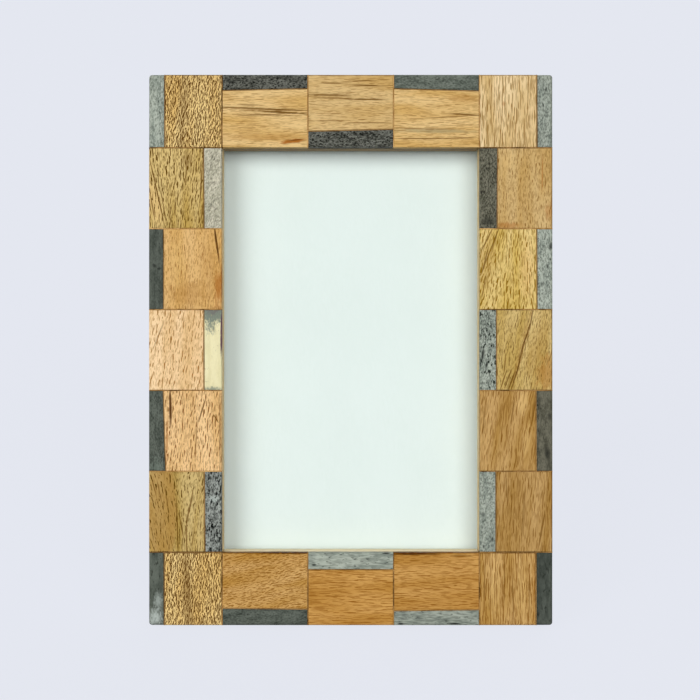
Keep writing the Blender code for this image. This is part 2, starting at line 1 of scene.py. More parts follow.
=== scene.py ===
"""Bone inlay picture frame: finishes, small fittings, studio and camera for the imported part."""

import json
import logging
import math
from dataclasses import dataclass, replace
from enum import Enum
from typing import Any, ClassVar, Iterable, Optional

import bpy
from mathutils import Matrix, Vector

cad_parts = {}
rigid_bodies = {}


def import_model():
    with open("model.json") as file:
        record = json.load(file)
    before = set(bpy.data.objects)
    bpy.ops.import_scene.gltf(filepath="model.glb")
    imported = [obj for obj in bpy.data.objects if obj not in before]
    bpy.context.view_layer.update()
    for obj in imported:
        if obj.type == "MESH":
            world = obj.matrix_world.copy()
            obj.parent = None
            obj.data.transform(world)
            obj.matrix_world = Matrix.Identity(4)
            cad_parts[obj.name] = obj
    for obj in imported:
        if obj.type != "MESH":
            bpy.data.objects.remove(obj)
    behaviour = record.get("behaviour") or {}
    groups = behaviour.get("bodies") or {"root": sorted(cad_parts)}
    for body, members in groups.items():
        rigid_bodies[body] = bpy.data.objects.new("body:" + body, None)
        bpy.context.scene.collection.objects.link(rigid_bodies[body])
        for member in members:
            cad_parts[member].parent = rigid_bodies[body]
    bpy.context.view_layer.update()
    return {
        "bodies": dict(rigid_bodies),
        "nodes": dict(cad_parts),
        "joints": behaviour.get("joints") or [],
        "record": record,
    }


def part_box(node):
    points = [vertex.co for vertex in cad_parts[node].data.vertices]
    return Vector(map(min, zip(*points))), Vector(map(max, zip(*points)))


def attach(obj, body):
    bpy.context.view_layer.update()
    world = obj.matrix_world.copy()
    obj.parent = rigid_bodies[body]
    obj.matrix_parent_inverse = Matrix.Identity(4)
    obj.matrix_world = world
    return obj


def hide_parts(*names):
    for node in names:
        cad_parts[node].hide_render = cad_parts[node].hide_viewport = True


MM = 0.001
LEVEL = 90.0  # degrees from upright, for grain that lies level
SMOOTH = math.radians(40.0)  # faces that meet at less are shaded as one curve
WAX = {"Specular IOR Level": 0.06}  # under a thin rubbed wax, where 0.5 is bare gloss
BLEND = {"data_type": "RGBA"}  # a Mix of two colours
EASE = {"interpolation_type": "SMOOTHSTEP"}  # a Map Range with soft ends
Colour = tuple[float, float, float, float]
Pair = tuple[float, float]
Triple = tuple[float, float, float]
Row = tuple[float, float, float, float, float, float]
Material = bpy.types.Material
Piece = bpy.types.Object
Socket = bpy.types.NodeSocket
log = logging.getLogger("bone_inlay_frame")


def linear(code: str, lift: float = 1.0) -> Colour:
    """Turn an sRGB hex value to a linear colour.

    Args:
        code: The colour as six hex digits after a hash.
        lift: A factor for a lighter or darker offcut of the same tone.

    Returns:
        Linear red, green, blue and an alpha of 1.
    """
    channels = [int(code[i : i + 2], 16) / 255 for i in (1, 3, 5)]
    bent = [c / 12.92 if c <= 0.04045 else ((c + 0.055) / 1.055) ** 2.4 for c in channels]
    return (bent[0] * lift, bent[1] * lift, bent[2] * lift, 1.0)


class WoodTone(Enum):
    """Tones of the hardwood offcuts: light figure, dark figure and open pores."""

    GOLDEN = ("#ebcc8a", "#dcb66f", "#583503")
    OLIVE = ("#d7bc7d", "#bb9b51", "#5e4009")
    YELLOW = ("#dec585", "#c9aa58", "#83600e")
    TAN = ("#e0b87b", "#d4a864", "#88561a")
    STRAW = ("#e2c186", "#cfa865", "#845a1c")
    PEACH = ("#f5d5a7", "#e6c18c", "#9a6a28")
    APRICOT = ("#eec892", "#deb57a", "#784a14")
    PALE = ("#ead0a1", "#d3b37a", "#8c682c")
    AMBER = ("#caa164", "#b38640", "#835516")
    HONEY = ("#c99a56", "#b2813b", "#885414")
    BROWN = ("#c29d64", "#a88142", "#7a5016")


class BoneTone(Enum):
    """Tones of the bone strips: light cloud, dark cloud and flecks."""

    SAGE = ("#a8afa2", "#889085", "#2a2f29")
    PEPPER = ("#9a9f98", "#6d716b", "#0c0d0b")
    SLATE = ("#60665d", "#484e46", "#20231d")
    CHARCOAL = ("#65665e", "#464740", "#0f100c")
    UMBER = ("#6a6859", "#4f4e41", "#15140f")
    BEIGE = ("#c4bfaa", "#a8a590", "#57544a")
    CREAM = ("#e7dfb4", "#ded5a7", "#b0a784")


class MarkTone(Enum):
    """Tones of single veins, stains and clouds, and of painted shade and painted light."""

    VEIN = "#63400c"
    CRACK = "#4a2708"
    RUST = "#a0601f"
    STAIN = "#a8793a"
    OCHRE = "#a67d42"
    GILT = "#94661c"
    GREY_WAVE = "#8d8562"
    STRAW = "#dcb878"
    BLACK = "#191b18"
    SMOKE = "#727d72"
    MILK = "#b4bdb6"
    # The next two are painted shade and painted light for the lips round the window
    PLUM = "#5a2f4a"
    GRIME = "#826944"
    DUST = "#f8e6c1"


class Pores(Enum):
    """How a tile's grain lies.

    The pores: width and length of their cells in mm, the level where they begin, and their depth. The
    fibres: width and length in mm, and how strongly they show. Last, how far the grain crinkles, in mm.
    """

    DENSE = (0.44, 1.3, 0.04, 0.96, 0.36, 1.5, 0.66, 0.05)
    SHORT = (0.54, 3.0, 0.135, 1.00, 0.36, 1.8, 0.38, 0.08)
    SLANTED = (0.54, 2.8, 0.105, 1.00, 0.36, 2.2, 0.50, 0.08)
    FINE = (0.51, 2.4, 0.13, 1.00, 0.36, 1.7, 0.42, 0.10)
    SMOOTH = (0.46, 2.3, 0.16, 0.80, 0.36, 1.6, 0.38, 0.10)
    LINES = (0.46, 5.4, 0.135, 0.90, 0.36, 3.6, 0.45, 0.04)
    SILK = (0.42, 5.0, 0.15, 0.60, 0.32, 2.8, 0.34, 0.08)
    WAVY = (0.45, 6.4, 0.095, 0.92, 0.35, 4.2, 0.56, 0.06)
    CHEVRON = (0.46, 2.0, 0.115, 0.95, 0.35, 1.5, 0.50, 0.20)

    def __init__(self, across: float, along: float, level: float, depth: float, *rest: float) -> None:
        """Keep the eight values by name."""
        self.across, self.along, self.level, self.depth = across, along, level, depth
        self.strand, self.fibre, self.show, self.crinkle = rest


class Flecks(Enum):
    """How a strip's flecks lie: their width and length in mm, the level where they begin, and their depth."""

    SPARSE = (0.62, 1.8, 0.65, 0.85)
    CHIPS = (0.64, 1.8, 0.545, 1.00)
    SPECKLE = (0.52, 0.9, 0.55, 0.95)
    FINE = (0.6, 2.0, 0.60, 0.65)

    def __init__(self, across: float, along: float, level: float, depth: float) -> None:
        """Keep the four values by name."""
        self.across, self.along, self.level, self.depth = across, along, level, depth


class Recipe:
    """The node tree of a material or a world, filled one node at a time."""

    stride: ClassVar[Triple] = (7.31, 3.17, 5.53)  # cells from one cut of a pattern to the next

    def __init__(self, owner: Any, seed: float = 0.0) -> None:
        """Start an empty node tree.

        Args:
            owner: The material or world.
            seed: Where in the endless patterns the piece was cut.
        """
        owner.use_nodes = True
        self.owner, self.tree, self.seed = owner, owner.node_tree, seed
        self.tree.nodes.clear()

    def add(self, kind: str, inputs: Optional[dict] = None, out: Any = 0, **settings: Any) -> Socket:
        """Add one node with its settings and links.

        Args:
            kind: The node's type, without its prefix.
            inputs: What each input takes, a value or another node's output.
            out: The name or number of the output to hand on.
            **settings: The node's own properties.

        Returns:
            The chosen output, or None where the node has none.
        """
        node = self.tree.nodes.new(f"ShaderNode{kind}")
        for key, value in settings.items():
            setattr(node, key, value)
        for key, value in (inputs or {}).items():
            if isinstance(value, Socket):
                self.tree.links.new(value, node.inputs[key])
            else:
                node.inputs[key].default_value = value
        return node.outputs[out] if node.outputs else None

    def pattern(
        self, kind: str, place: Socket, cell: Triple, layer: int, out: Any = 0, **inputs: Any
    ) -> Socket:
        """Add a texture whose cells have a size in millimetres.

        Args:
            kind: The texture's type.
            place: The place in millimetres.
            cell: The cell's size along x, y and z, in millimetres.
            layer: The number of this pattern among the piece's own.
            out: The output to hand on.
            **inputs: The texture's values.

        Returns:
            The texture's output.
        """
        per_cell = tuple(1 / size for size in cell)
        shift = tuple((self.seed + layer) * step for step in self.stride)
        spot = self.add("VectorMath", {0: place, 1: per_cell, 2: shift}, operation="MULTIPLY_ADD")
        return self.add(kind, {"Vector": spot, "Scale": 1.0, **inputs}, out)

    def tint(self, value: Socket, span: Pair, below: Any, above: Any, most: float = 1.0) -> Socket:
        """Shade from one colour to another as a value crosses a span, up to a share of the second."""
        share = self.add("MapRange", {0: value, 1: span[0], 2: span[1], 4: most}, **EASE)
        return self.add("Mix", {0: share, 6: below, 7: above}, 2, **BLEND)

    def skin(self, colour: Socket, bump: tuple, gloss: tuple, shader: dict, pored: bool = False) -> Material:
        """Make a surface whose relief and gloss follow its patterns.

        Args:
            colour: Its colour.
            bump: The height, how strongly it shows, and its depth in millimetres.
            gloss: A value, where it begins and ends, and the roughness at both.
            shader: The shader's other values.
            pored: Whether the height is a depth, as in open pores, which the gloss follows evenly.

        Returns:
            The finished material.
        """
        relief = {"Height": bump[0], "Strength": bump[1], "Distance": bump[2] * MM}
        normal = self.add("Bump", relief, invert=pored)
        rough = self.add("MapRange", dict(enumerate(gloss)), **({} if pored else EASE))
        surface = {"Base Color": colour, "Roughness": rough, "Normal": normal, **shader}
        return self.finish(self.add("BsdfPrincipled", surface))

    def finish(self, shader: Socket, output: str = "OutputMaterial") -> Any:
        """Send the shader to the output node, and give the finished material or world."""
        self.add(output, {"Surface": shader})
        return self.owner


@dataclass(frozen=True)
class FacePlane:
    """The frame's leaning back plane, with x to the right, y to the back and z up along the frame."""

    turn: Matrix
    origin: Vector

    @classmethod
    def of(cls, frame: dict) -> "FacePlane":
        """Find the plane from the turn buttons' axis and the lowest edge of the base frame.

        Args:
            frame: The loaded frame.

        Returns:
            The leaning plane.
        """
        axis = next(j["axis"] for j in frame["joints"] if j["name"].startswith("turn_"))
        turn = Matrix.Rotation(math.atan2(axis[2], axis[1]), 3, "X")
        low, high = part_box("bottom_rail")
        flat = [turn.transposed() @ v.co for v in frame["nodes"]["bottom_rail"].data.vertices]
        edge = turn @ Vector((0, max(p.y for p in flat), min(p.z for p in flat)))
        return cls(turn, Vector(((low[0] + high[0]) / 2, edge.y, 0.0)))

    def local(self, point: Vector) -> Vector:
        """Turn a place in the room to the frame's own axes."""
        return self.turn.transposed() @ (point - self.origin)

    def matrix(self, place: Triple, tilt: float = 0.0) -> Matrix:
        """Give the placing in the room of a piece on the frame, turned in the frame's plane by radians."""
        turn = self.turn @ Matrix.Rotation(tilt, 3, "Y")
        return Matrix.Translation(self.origin + self.turn @ Vector(place)) @ turn.to_4x4()

    def box(self, *nodes: Piece) -> tuple[Vector, Vector]:
        """Measure nodes together in the frame's own axes: their lowest and highest corner."""
        spans = list(zip(*(self.local(vert.co) for node in nodes for vert in node.data.vertices)))
        return Vector([min(span) for span in spans]), Vector([max(span) for span in spans])


@dataclass(frozen=True)
class Spot:
    """The middle and the turn of a piece, for a pattern that is centred on it and lies along it."""

    middle: Vector
    turn: Matrix

    def millimetres(self, r: Recipe) -> Socket:
        """Give the place on the piece in millimetres from its middle: right, back and up.

        Args:
            r: The material to add to.

        Returns:
            The place as a vector.
        """
        place = r.add("TexCoord", out="Object")
        settings = {"Location": self.middle, "Rotation": self.turn.to_euler(), "Scale": (MM, MM, MM)}
        return r.add("Mapping", {"Vector": place, **settings}, vector_type="TEXTURE")


@dataclass(frozen=True)
class Mark:
    """A vein, crack, stain, cloud or band of painted shade or painted light: a ragged oval at a place on its
    tile, in millimetres right and up.
    """

    through: ClassVar[float] = 1000.0  # mm; a mark goes right through its tile
    at: Pair
    half: Pair
    tilt: float  # degrees
    tone: MarkTone
    strength: float
    soft: float
    ragged: float

    def paint(self, r: Recipe, face: Socket, wear: Socket, colour: Socket) -> Socket:
        """Lay the mark over a colour.

        Args:
            r: The material to add to.
            face: The place on the tile in millimetres.
            wear: A fine noise that breaks the mark's edge.
            colour: The colour below.

        Returns:
            The colour with the mark on it.
        """
        settings = {
            "Location": (self.at[0], 0.0, self.at[1]),
            "Rotation": (0.0, math.radians(self.tilt), 0.0),
            "Scale": (self.half[0], self.through, self.half[1]),
        }
        oval = r.add("Mapping", {"Vector": face, **settings}, vector_type="TEXTURE")
        reach = r.add("VectorMath", {0: oval}, "Value", operation="LENGTH")
        broken = r.add("Math", {0: wear, 1: 2 * self.ragged, 2: reach}, operation="MULTIPLY_ADD")
        inner, outer = 1 - self.soft + self.ragged, 1 + self.ragged
        share = r.add("MapRange", {0: broken, 1: inner, 2: outer, 3: self.strength, 4: 0.0}, **EASE)
        return r.add("Mix", {0: share, 6: colour, 7: linear(self.tone.value)}, 2, **BLEND)


def grained(r: Recipe, place: Socket, grain: float, fan: float = 0.0) -> Socket:
    """Turn the place on a piece to follow its grain.

    Args:
        r: The material to add to.
        place: The place on the piece in millimetres.
        grain: Degrees from upright, towards the right.
        fan: How fast the grain closes up towards the top, per mm.

    Returns:
        The place with x across the grain, y along it and z into the piece.
    """
    turned = {"Vector": place, "Rotation": (0.0, math.radians(grain), 0.0)}
    parts = r.add("SeparateXYZ", {0: r.add("Mapping", turned, vector_type="TEXTURE")}).node.outputs
    spread = r.add("Math", {0: parts[2], 1: fan, 2: 1.0}, operation="MULTIPLY_ADD")
    across = r.add("Math", {0: parts[0], 1: spread}, operation="MULTIPLY")
    # The grain shifts across with depth, so that it runs on over the piece's sides
    across = r.add("Math", {0: parts[1], 1: 0.8, 2: across}, operation="MULTIPLY_ADD")
    return r.add("CombineXYZ", {0: across, 1: parts[2], 2: parts[1]})


class Finish:
    """A finish, which makes the material of one piece."""

    material: ClassVar[str]

    def dress(self, name: str, spot: Spot, seed: float = 0.0) -> Material:
        """Make a piece's material, centred and turned as its spot says, from its own part of the pattern."""
        r = Recipe(bpy.data.materials.new(f"{self.material}_{name}"), seed)
        return self.make(r, spot.millimetres(r))

    def make(self, r: Recipe, place: Socket) -> Material:
        """Add the finish's own nodes."""
        raise NotImplementedError


@dataclass(frozen=True)
class WoodFinish(Finish):
    """Waxed hardwood offcut, sanded flat: fine fibres, a soft figure and open pores, with a low sheen."""

    material: ClassVar[str] = "waxed_hardwood"
    crowding: ClassVar[float] = 0.06  # how much further the pores open where they crowd together
    pore_edge: ClassVar[float] = 0.05
    tone: WoodTone
    pores: Pores
    grain: float  # degrees from upright, towards the right
    fan: float = 0.0  # how fast the grain closes up towards the top, per mm
    lift: float = 1.0  # lighter or darker than its tone
    wave: float = 0.6  # how far the grain wanders, mm
    marks: tuple[Mark, ...] = ()

    def make(self, r: Recipe, place: Socket) -> Material:
        """Lay the figure, the fibres, the marks and the pores over each other.

        Args:
            r: The material to add to.
            place: The place on the tile in millimetres.

        Returns:
            The finished material.
        """
        along = self.along(r, place)
        strand = (self.pores.strand, self.pores.fibre, self.pores.strand)
        figure = r.pattern("TexNoise", along, (5.0, 34.0, 5.0), 1, Detail=1.5, Roughness=0.5)
        fibre = r.pattern("TexNoise", along, strand, 2, Detail=1.0, Roughness=0.6)
        wear = r.pattern("TexNoise", along, (0.5, 2.4, 0.5), 3, Detail=2.0)
        light, dark, pore = (linear(code, self.lift) for code in self.tone.value)
        colour = r.tint(figure, (0.30, 0.70), light, dark)
        colour = r.tint(fibre, (0.48, 0.60), colour, pore, self.pores.show)
        for mark in self.marks:
            colour = mark.paint(r, place, wear, colour)
        pits = self.pits(r, along)
        share = r.add("Math", {0: pits, 1: self.pores.depth}, operation="MULTIPLY")
        colour = r.add("Mix", {0: share, 6: colour, 7: pore}, 2, **BLEND)
        relief = r.add("Math", {0: fibre, 1: 0.25, 2: pits}, operation="MULTIPLY_ADD")
        gloss = (relief, 0.0, 1.2, 0.38, 0.70)
        return r.skin(colour, (relief, 0.35, 0.12), gloss, {"IOR": 1.5, **WAX}, pored=True)

    def along(self, r: Recipe, place: Socket) -> Socket:
        """Follow the grain, which wanders slowly and crinkles.

        Args:
            r: The material to add to.
            place: The place on the tile in millimetres.

        Returns:
            The place with x across the grain, y along it and z into the tile.
        """
        along = grained(r, place, self.grain, self.fan)
        for cell, reach in (((4.5, 9.0, 4.5), self.wave), ((1.1, 1.6, 1.1), self.pores.crinkle)):
            drift = r.pattern("TexNoise", along, cell, 0, "Color", Detail=0.5)
            settings = {0: drift, 1: (reach, 0.0, 0.0), 2: along}
            along = r.add("VectorMath", settings, operation="MULTIPLY_ADD")
        return along

    def pits(self, r: Recipe, along: Socket) -> Socket:
        """Cut the open pores: fine strokes that crowd together in some places.

        Args:
            r: The material to add to.
            along: The place along the grain in millimetres.

        Returns:
            1 in a pore and 0 on the wood between.
        """
        wide = self.pores.across
        cell = (wide, self.pores.along, wide)
        # One noise less the same noise a little to the side leaves only fine strokes, and no blots
        beside = r.add("VectorMath", {0: along, 1: (0.6 * wide, 0.0, 0.0)})
        here, there = (
            r.pattern("TexNoise", spot, cell, 4, Detail=1.0, Roughness=0.5) for spot in (along, beside)
        )
        stroke = r.add("Math", {0: here, 1: there}, operation="SUBTRACT")
        crowd = r.pattern("TexNoise", along, (5.0, 8.0, 5.0), 5, Detail=1.0)
        dense = r.add("Math", {0: crowd, 1: self.crowding, 2: stroke}, operation="MULTIPLY_ADD")
        start = self.pores.level + self.crowding / 2
        return r.add("MapRange", {0: dense, 1: start, 2: start + self.pore_edge}, **EASE)


@dataclass(frozen=True)
class BoneFinish(Finish):
    """Dyed and polished bone: soft clouds, fine scratches along its length and dark flecks, low in gloss."""

    material: ClassVar[str] = "dyed_bone"
    glint: ClassVar[float] = 1.35  # how much lighter than the clouds the light specks are
    fleck_edge: ClassVar[float] = 0.07
    tone: BoneTone
    flecks: Flecks
    grain: float  # degrees from upright, towards the right
    lift: float = 1.0  # lighter or darker than its tone
    grit: float = 0.45  # how strongly the fine mottling shows
    draw: float = 0.9  # how far the mottling is drawn out along the strip, mm
    marks: tuple[Mark, ...] = ()

    def make(self, r: Recipe, place: Socket) -> Material:
        """Lay the clouds, the mottling, the marks and the flecks over each other.

        Args:
            r: The material to add to.
            place: The place on the strip in millimetres.

        Returns:
            The finished material.
        """
        along = grained(r, place, self.grain)
        cell = (self.flecks.across, self.flecks.along, self.flecks.across)
        cloud = r.pattern("TexNoise", along, (2.0, 7.0, 2.0), 0, Detail=3.0, Roughness=0.6)
        mottle = r.pattern("TexNoise", along, (0.43, self.draw, 0.43), 1, Detail=1.0, Roughness=0.6)
        scratch = r.pattern("TexNoise", along, (0.16, 4.0, 0.16), 2, Detail=1.5)
        fleck = r.pattern("TexNoise", along, cell, 3, Detail=2.0, Roughness=0.6)
        light, dark, speck = (linear(code, self.lift) for code in self.tone.value)
        bright = linear(self.tone.value[0], self.glint * self.lift)
        colour = r.tint(cloud, (0.36, 0.64), light, dark)
        colour = r.tint(mottle, (0.46, 0.66), colour, speck, self.grit)
        colour = r.tint(mottle, (0.46, 0.30), colour, bright, self.grit)
        for mark in self.marks:
            colour = mark.paint(r, place, mottle, colour)
        start = self.flecks.level
        pits = r.add("MapRange", {0: fleck, 1: start, 2: start + self.fleck_edge}, **EASE)
        share = r.add("Math", {0: pits, 1: self.flecks.depth}, operation="MULTIPLY")
        colour = r.add("Mix", {0: share, 6: colour, 7: linear(self.tone.value[2])}, 2, **BLEND)
        relief = r.add("Math", {0: scratch, 1: 0.3, 2: pits}, operation="MULTIPLY_ADD")
        gloss = (relief, 0.0, 1.2, 0.34, 0.62)
        return r.skin(colour, (relief, 0.25, 0.08), gloss, {"IOR": 1.54, **WAX}, pored=True)


@dataclass(frozen=True)
class FibreboardFinish(Finish):
    """Lacquered fibreboard, sawn and sanded: a felt of fine pale and brown fibres with almost no gloss."""

    material: ClassVar[str] = "fibreboard"
    light: str = "#e6cea0"
    dark: str = "#dabf8c"
    fleck: str = "#a2824c"
    marks: tuple[Mark, ...] = ()

    def make(self, r: Recipe, place: Socket) -> Material:
        """Press the fibres in the board's plane, and lay the marks on them.

        Args:
            r: The material to add to.
            place: The place on the member in millimetres.

        Returns:
            The finished material.
        """
        pressed = r.pattern("TexNoise", place, (14.0, 2.2, 14.0), 1, Detail=3.0)
        # Real fibres are near 0.1 mm thick, so they are drawn 0.35 mm thick to show
        fibre = r.pattern("TexNoise", place, (0.9, 0.35, 0.9), 2, Detail=3.0, Roughness=0.65)
        colour = r.tint(pressed, (0.35, 0.65), linear(self.light), linear(self.dark))
        colour = r.tint(fibre, (0.45, 0.75), colour, linear(self.fleck), 0.55)
        for mark in self.marks:
            colour = mark.paint(r, place, fibre, colour)
        return r.skin(colour, (fibre, 0.3, 0.08), (fibre, 0.3, 0.7, 0.55, 0.75), {"IOR": 1.48})


@dataclass(frozen=True)
class GlassFinish(Finish):
    """Clear float glass: flat and colourless, with a faint ripple in its gloss, and open to lamplight."""

    material: ClassVar[str] = "float_glass"
    hue: str = "#fbfdfc"

    def make(self, r: Recipe, place: Socket) -> Material:
        """Make the glass, and let the light of the lamps straight through it.

        Args:
            r: The material to add to.
            place: The place on the pane in millimetres.

        Returns:
            The finished material.
        """
        ripple = r.pattern("TexNoise", place, (18.0, 18.0, 30.0), 1, Detail=1.0)
        rough = r.add("MapRange", {0: ripple, 1: 0.3, 2: 0.7, 4: 0.03}, **EASE)
        surface = {"Base Color": linear(self.hue), "Roughness": rough, "IOR": 1.45}
        glass = r.add("BsdfPrincipled", {**surface, "Transmission Weight": 1.0})
        clear = r.add("BsdfTransparent", {"Color": linear(self.hue)})
        path = r.add("LightPath").node.outputs
        soft = r.add("MixShader", {0: path["Is Diffuse Ray"], 1: glass, 2: clear})
        return r.finish(r.add("MixShader", {0: path["Is Shadow Ray"], 1: soft, 2: clear}))


@dataclass(frozen=True)
class CardFinish(Finish):
    """Uncoated white card: a matt face with a faint felt of paper fibres."""

    material: ClassVar[str] = "white_card"
    light: str = "#ecf3f0"
    dark: str = "#e6eeea"

    def make(self, r: Recipe, place: Socket) -> Material:
        """Felt the fibres to a sheet.

        Args:
            r: The material to add to.
            place: The place on the card in millimetres.

        Returns:
            The finished material.
        """
        # Paper fibres are near 0.03 mm thick, so they are drawn 0.4 mm thick to show
        felt = r.pattern("TexNoise", place, (0.4, 0.4, 1.3), 1, Detail=4.0, Roughness=0.7)
        sheet = r.pattern("TexNoise", place, (22.0, 22.0, 26.0), 2, Detail=1.0)
        both = r.add("Math", {0: sheet, 1: 0.3, 2: felt}, operation="MULTIPLY_ADD")
        colour = r.tint(both, (0.40, 0.90), linear(self.light), linear(self.dark))
        return r.skin(colour, (felt, 0.05, 0.02), (felt, 0.3, 0.7, 0.78, 0.92), {"IOR": 1.45})


@dataclass(frozen=True)
class BackingFinish(Finish):
    """Hardboard covered with black embossed paper: a linen relief, rubbed to grey on its high threads."""

    material: ClassVar[str] = "black_backing_board"
    light: str = "#4a4744"
    dark: str = "#1f1e1d"
    thread: float = 0.8  # mm; real embossing is near 0.4 mm, and is drawn coarser to show

    def make(self, r: Recipe, place: Socket) -> Material:
        """Emboss a linen weave whose threads wander a little.

        Args:
            r: The material to add to.
            place: The place on the board in millimetres.

        Returns:
            The finished material.
        """
        drift = r.pattern("TexNoise", place, (2.5, 2.5, 2.5), 1, "Color", Detail=1.0)
        place = r.add("VectorMath", {0: drift, 1: (0.5, 0.0, 0.5), 2: place}, operation="MULTIPLY_ADD")
        turns = math.tau / self.thread
        waves = r.add("VectorMath", {0: place, 1: (turns, 0.0, turns)}, operation="MULTIPLY")
        crests = r.add("SeparateXYZ", {0: r.add("VectorMath", {0: waves}, operation="SINE")}).node.outputs
        weave = r.add("Math", {0: crests[0], 1: crests[2]}, operation="MULTIPLY")
        rubbed = r.pattern("TexNoise", place, (9.0, 9.0, 12.0), 2, Detail=4.0, Roughness=0.65)
        worn = r.add("Math", {0: weave, 1: 0.22, 2: rubbed}, operation="MULTIPLY_ADD")
        colour = r.tint(worn, (0.35, 0.85), linear(self.dark), linear(self.light))
        return r.skin(colour, (weave, 0.6, 0.10), (worn, 0.3, 0.8, 0.62, 0.82), {"IOR": 1.46})


@dataclass(frozen=True)
class SteelFinish(Finish):
    """Zinc-plated pressed steel: pale grey metal with soft blotches and fine rolling lines."""

    material: ClassVar[str] = "zinc_plated_steel"
    light: str = "#d6d8d8"
    dark: str = "#a9acad"

    def make(self, r: Recipe, place: Socket) -> Material:
        """Blotch the zinc over the rolled sheet.

        Args:
            r: The material to add to.
            place: The place on the fitting in millimetres.

        Returns:
            The finished material.
        """
        blotch = r.pattern("TexNoise", place, (2.8, 2.8, 2.8), 1, Detail=3.0)
        # Rolling lines are near 0.05 mm apart, so they are drawn 0.25 mm apart to show
        rolled = r.pattern("TexNoise", place, (0.25, 0.25, 6.0), 2, Detail=2.0)
        both = r.add("Math", {0: rolled, 1: 0.6, 2: blotch}, operation="MULTIPLY_ADD")
        colour = r.tint(blotch, (0.32, 0.68), linear(self.light), linear(self.dark))
        return r.skin(colour, (rolled, 0.12, 0.03), (both, 0.5, 1.1, 0.26, 0.46), {"Metallic": 1.0})


@dataclass(frozen=True)
class GlueFinish(Finish):
    """Brown wood glue rubbed into a joint: a dull line with paler sanding dust in it."""

    material: ClassVar[str] = "wood_glue"
    light: str
    dark: str

    def make(self, r: Recipe, place: Socket) -> Material:
        """Rub dust into the glue, which stays dark where it is bare.

        Args:
            r: The material to add to.
            place: The place on the frame in millimetres.

        Returns:
            The finished material.
        """
        grit = r.pattern("TexNoise", place, (0.7, 0.7, 0.7), 1, Detail=3.0)
        patch = r.pattern("TexNoise", place, (7.0, 7.0, 7.0), 2, Detail=2.0)
        bare = r.add("Math", {0: grit, 1: 0.5, 2: patch}, operation="MULTIPLY_ADD")
        colour = r.tint(bare, (0.58, 0.92), linear(self.light), linear(self.dark))
        return r.skin(colour, (grit, 0.3, 0.05), (grit, 0.3, 0.7, 0.6, 0.85), {"IOR": 1.46, **WAX})


def select_only(*pieces: Piece) -> None:
    """Select some pieces and nothing else.

    Args:
        *pieces: The pieces, of which the first becomes active.
    """
    bpy.ops.object.select_all(action="DESELECT")
    for piece in pieces:
        piece.select_set(True)
    bpy.context.view_layer.objects.active = pieces[0]


def coat(piece: Piece, material: Material) -> None:
    """Give a piece one material in all its slots.

    Args:
        piece: The piece or CAD node.
        material: Its new material.
    """
    if not piece.data.materials:
        piece.data.materials.append(material)
    for i in range(len(piece.data.materials)):
        piece.data.materials[i] = material


def copies(master: Piece, name: str, places: Iterable[Matrix]) -> Piece:
    """Copy a modelled master to each place, join the copies, and remove the master.

    Args:
        master: The piece, modelled round the origin.
        name: The joined piece's name.
        places: The placing of each copy.

    Returns:
        The joined piece, at the origin with its places in its mesh.
    """
    made = []
    for place in places:
        piece = bpy.data.objects.new(name, master.data.copy())
        piece.data.transform(place)
        bpy.context.scene.collection.objects.link(piece)
        made.append(piece)
    select_only(*made)
    bpy.ops.object.join()
    bpy.data.objects.remove(master)
    made[0].name = made[0].data.name = name
    return made[0]


def domed_head(radius: float, height: float) -> Piece:
    """Model a low domed head: a ball cut flat, pressed down and given a thin rim.

    Args:
        radius: The head's radius.
        height: How far it stands out, along y.

    Returns:
        The head, with its flat side at the origin.
    """
    rim = 0.25 * height
    bpy.ops.object.select_all(action="DESELECT")
    bpy.ops.mesh.primitive_uv_sphere_add(segments=24, ring_count=16, radius=radius)
    head = bpy.context.object
    bpy.ops.object.mode_set(mode="EDIT")
    bpy.ops.mesh.select_all(action="SELECT")
    bpy.ops.mesh.bisect(plane_co=(0, 0, 0), plane_no=(0, 0, 1), use_fill=True, clear_inner=True)
    bpy.ops.mesh.select_all(action="SELECT")
    bpy.ops.transform.resize(value=(1.0, 1.0, (height - rim) / radius))
    bpy.ops.mesh.select_all(action="DESELECT")
    bpy.ops.object.mode_set(mode="OBJECT")
    for face in head.data.polygons:
        face.select = face.normal.z < -0.9
    bpy.ops.object.mode_set(mode="EDIT")
    bpy.ops.mesh.extrude_region_move(TRANSFORM_OT_translate={"value": (0, 0, -rim)})
    bpy.ops.mesh.select_all(action="SELECT")
    bpy.ops.transform.translate(value=(0, 0, rim))
    bpy.ops.mesh.normals_make_consistent(inside=False)
    bpy.ops.object.mode_set(mode="OBJECT")
    head.data.transform(Matrix.Rotation(-math.pi / 2, 4, "X"))
    bpy.ops.object.shade_smooth_by_angle(angle=SMOOTH)
    return head


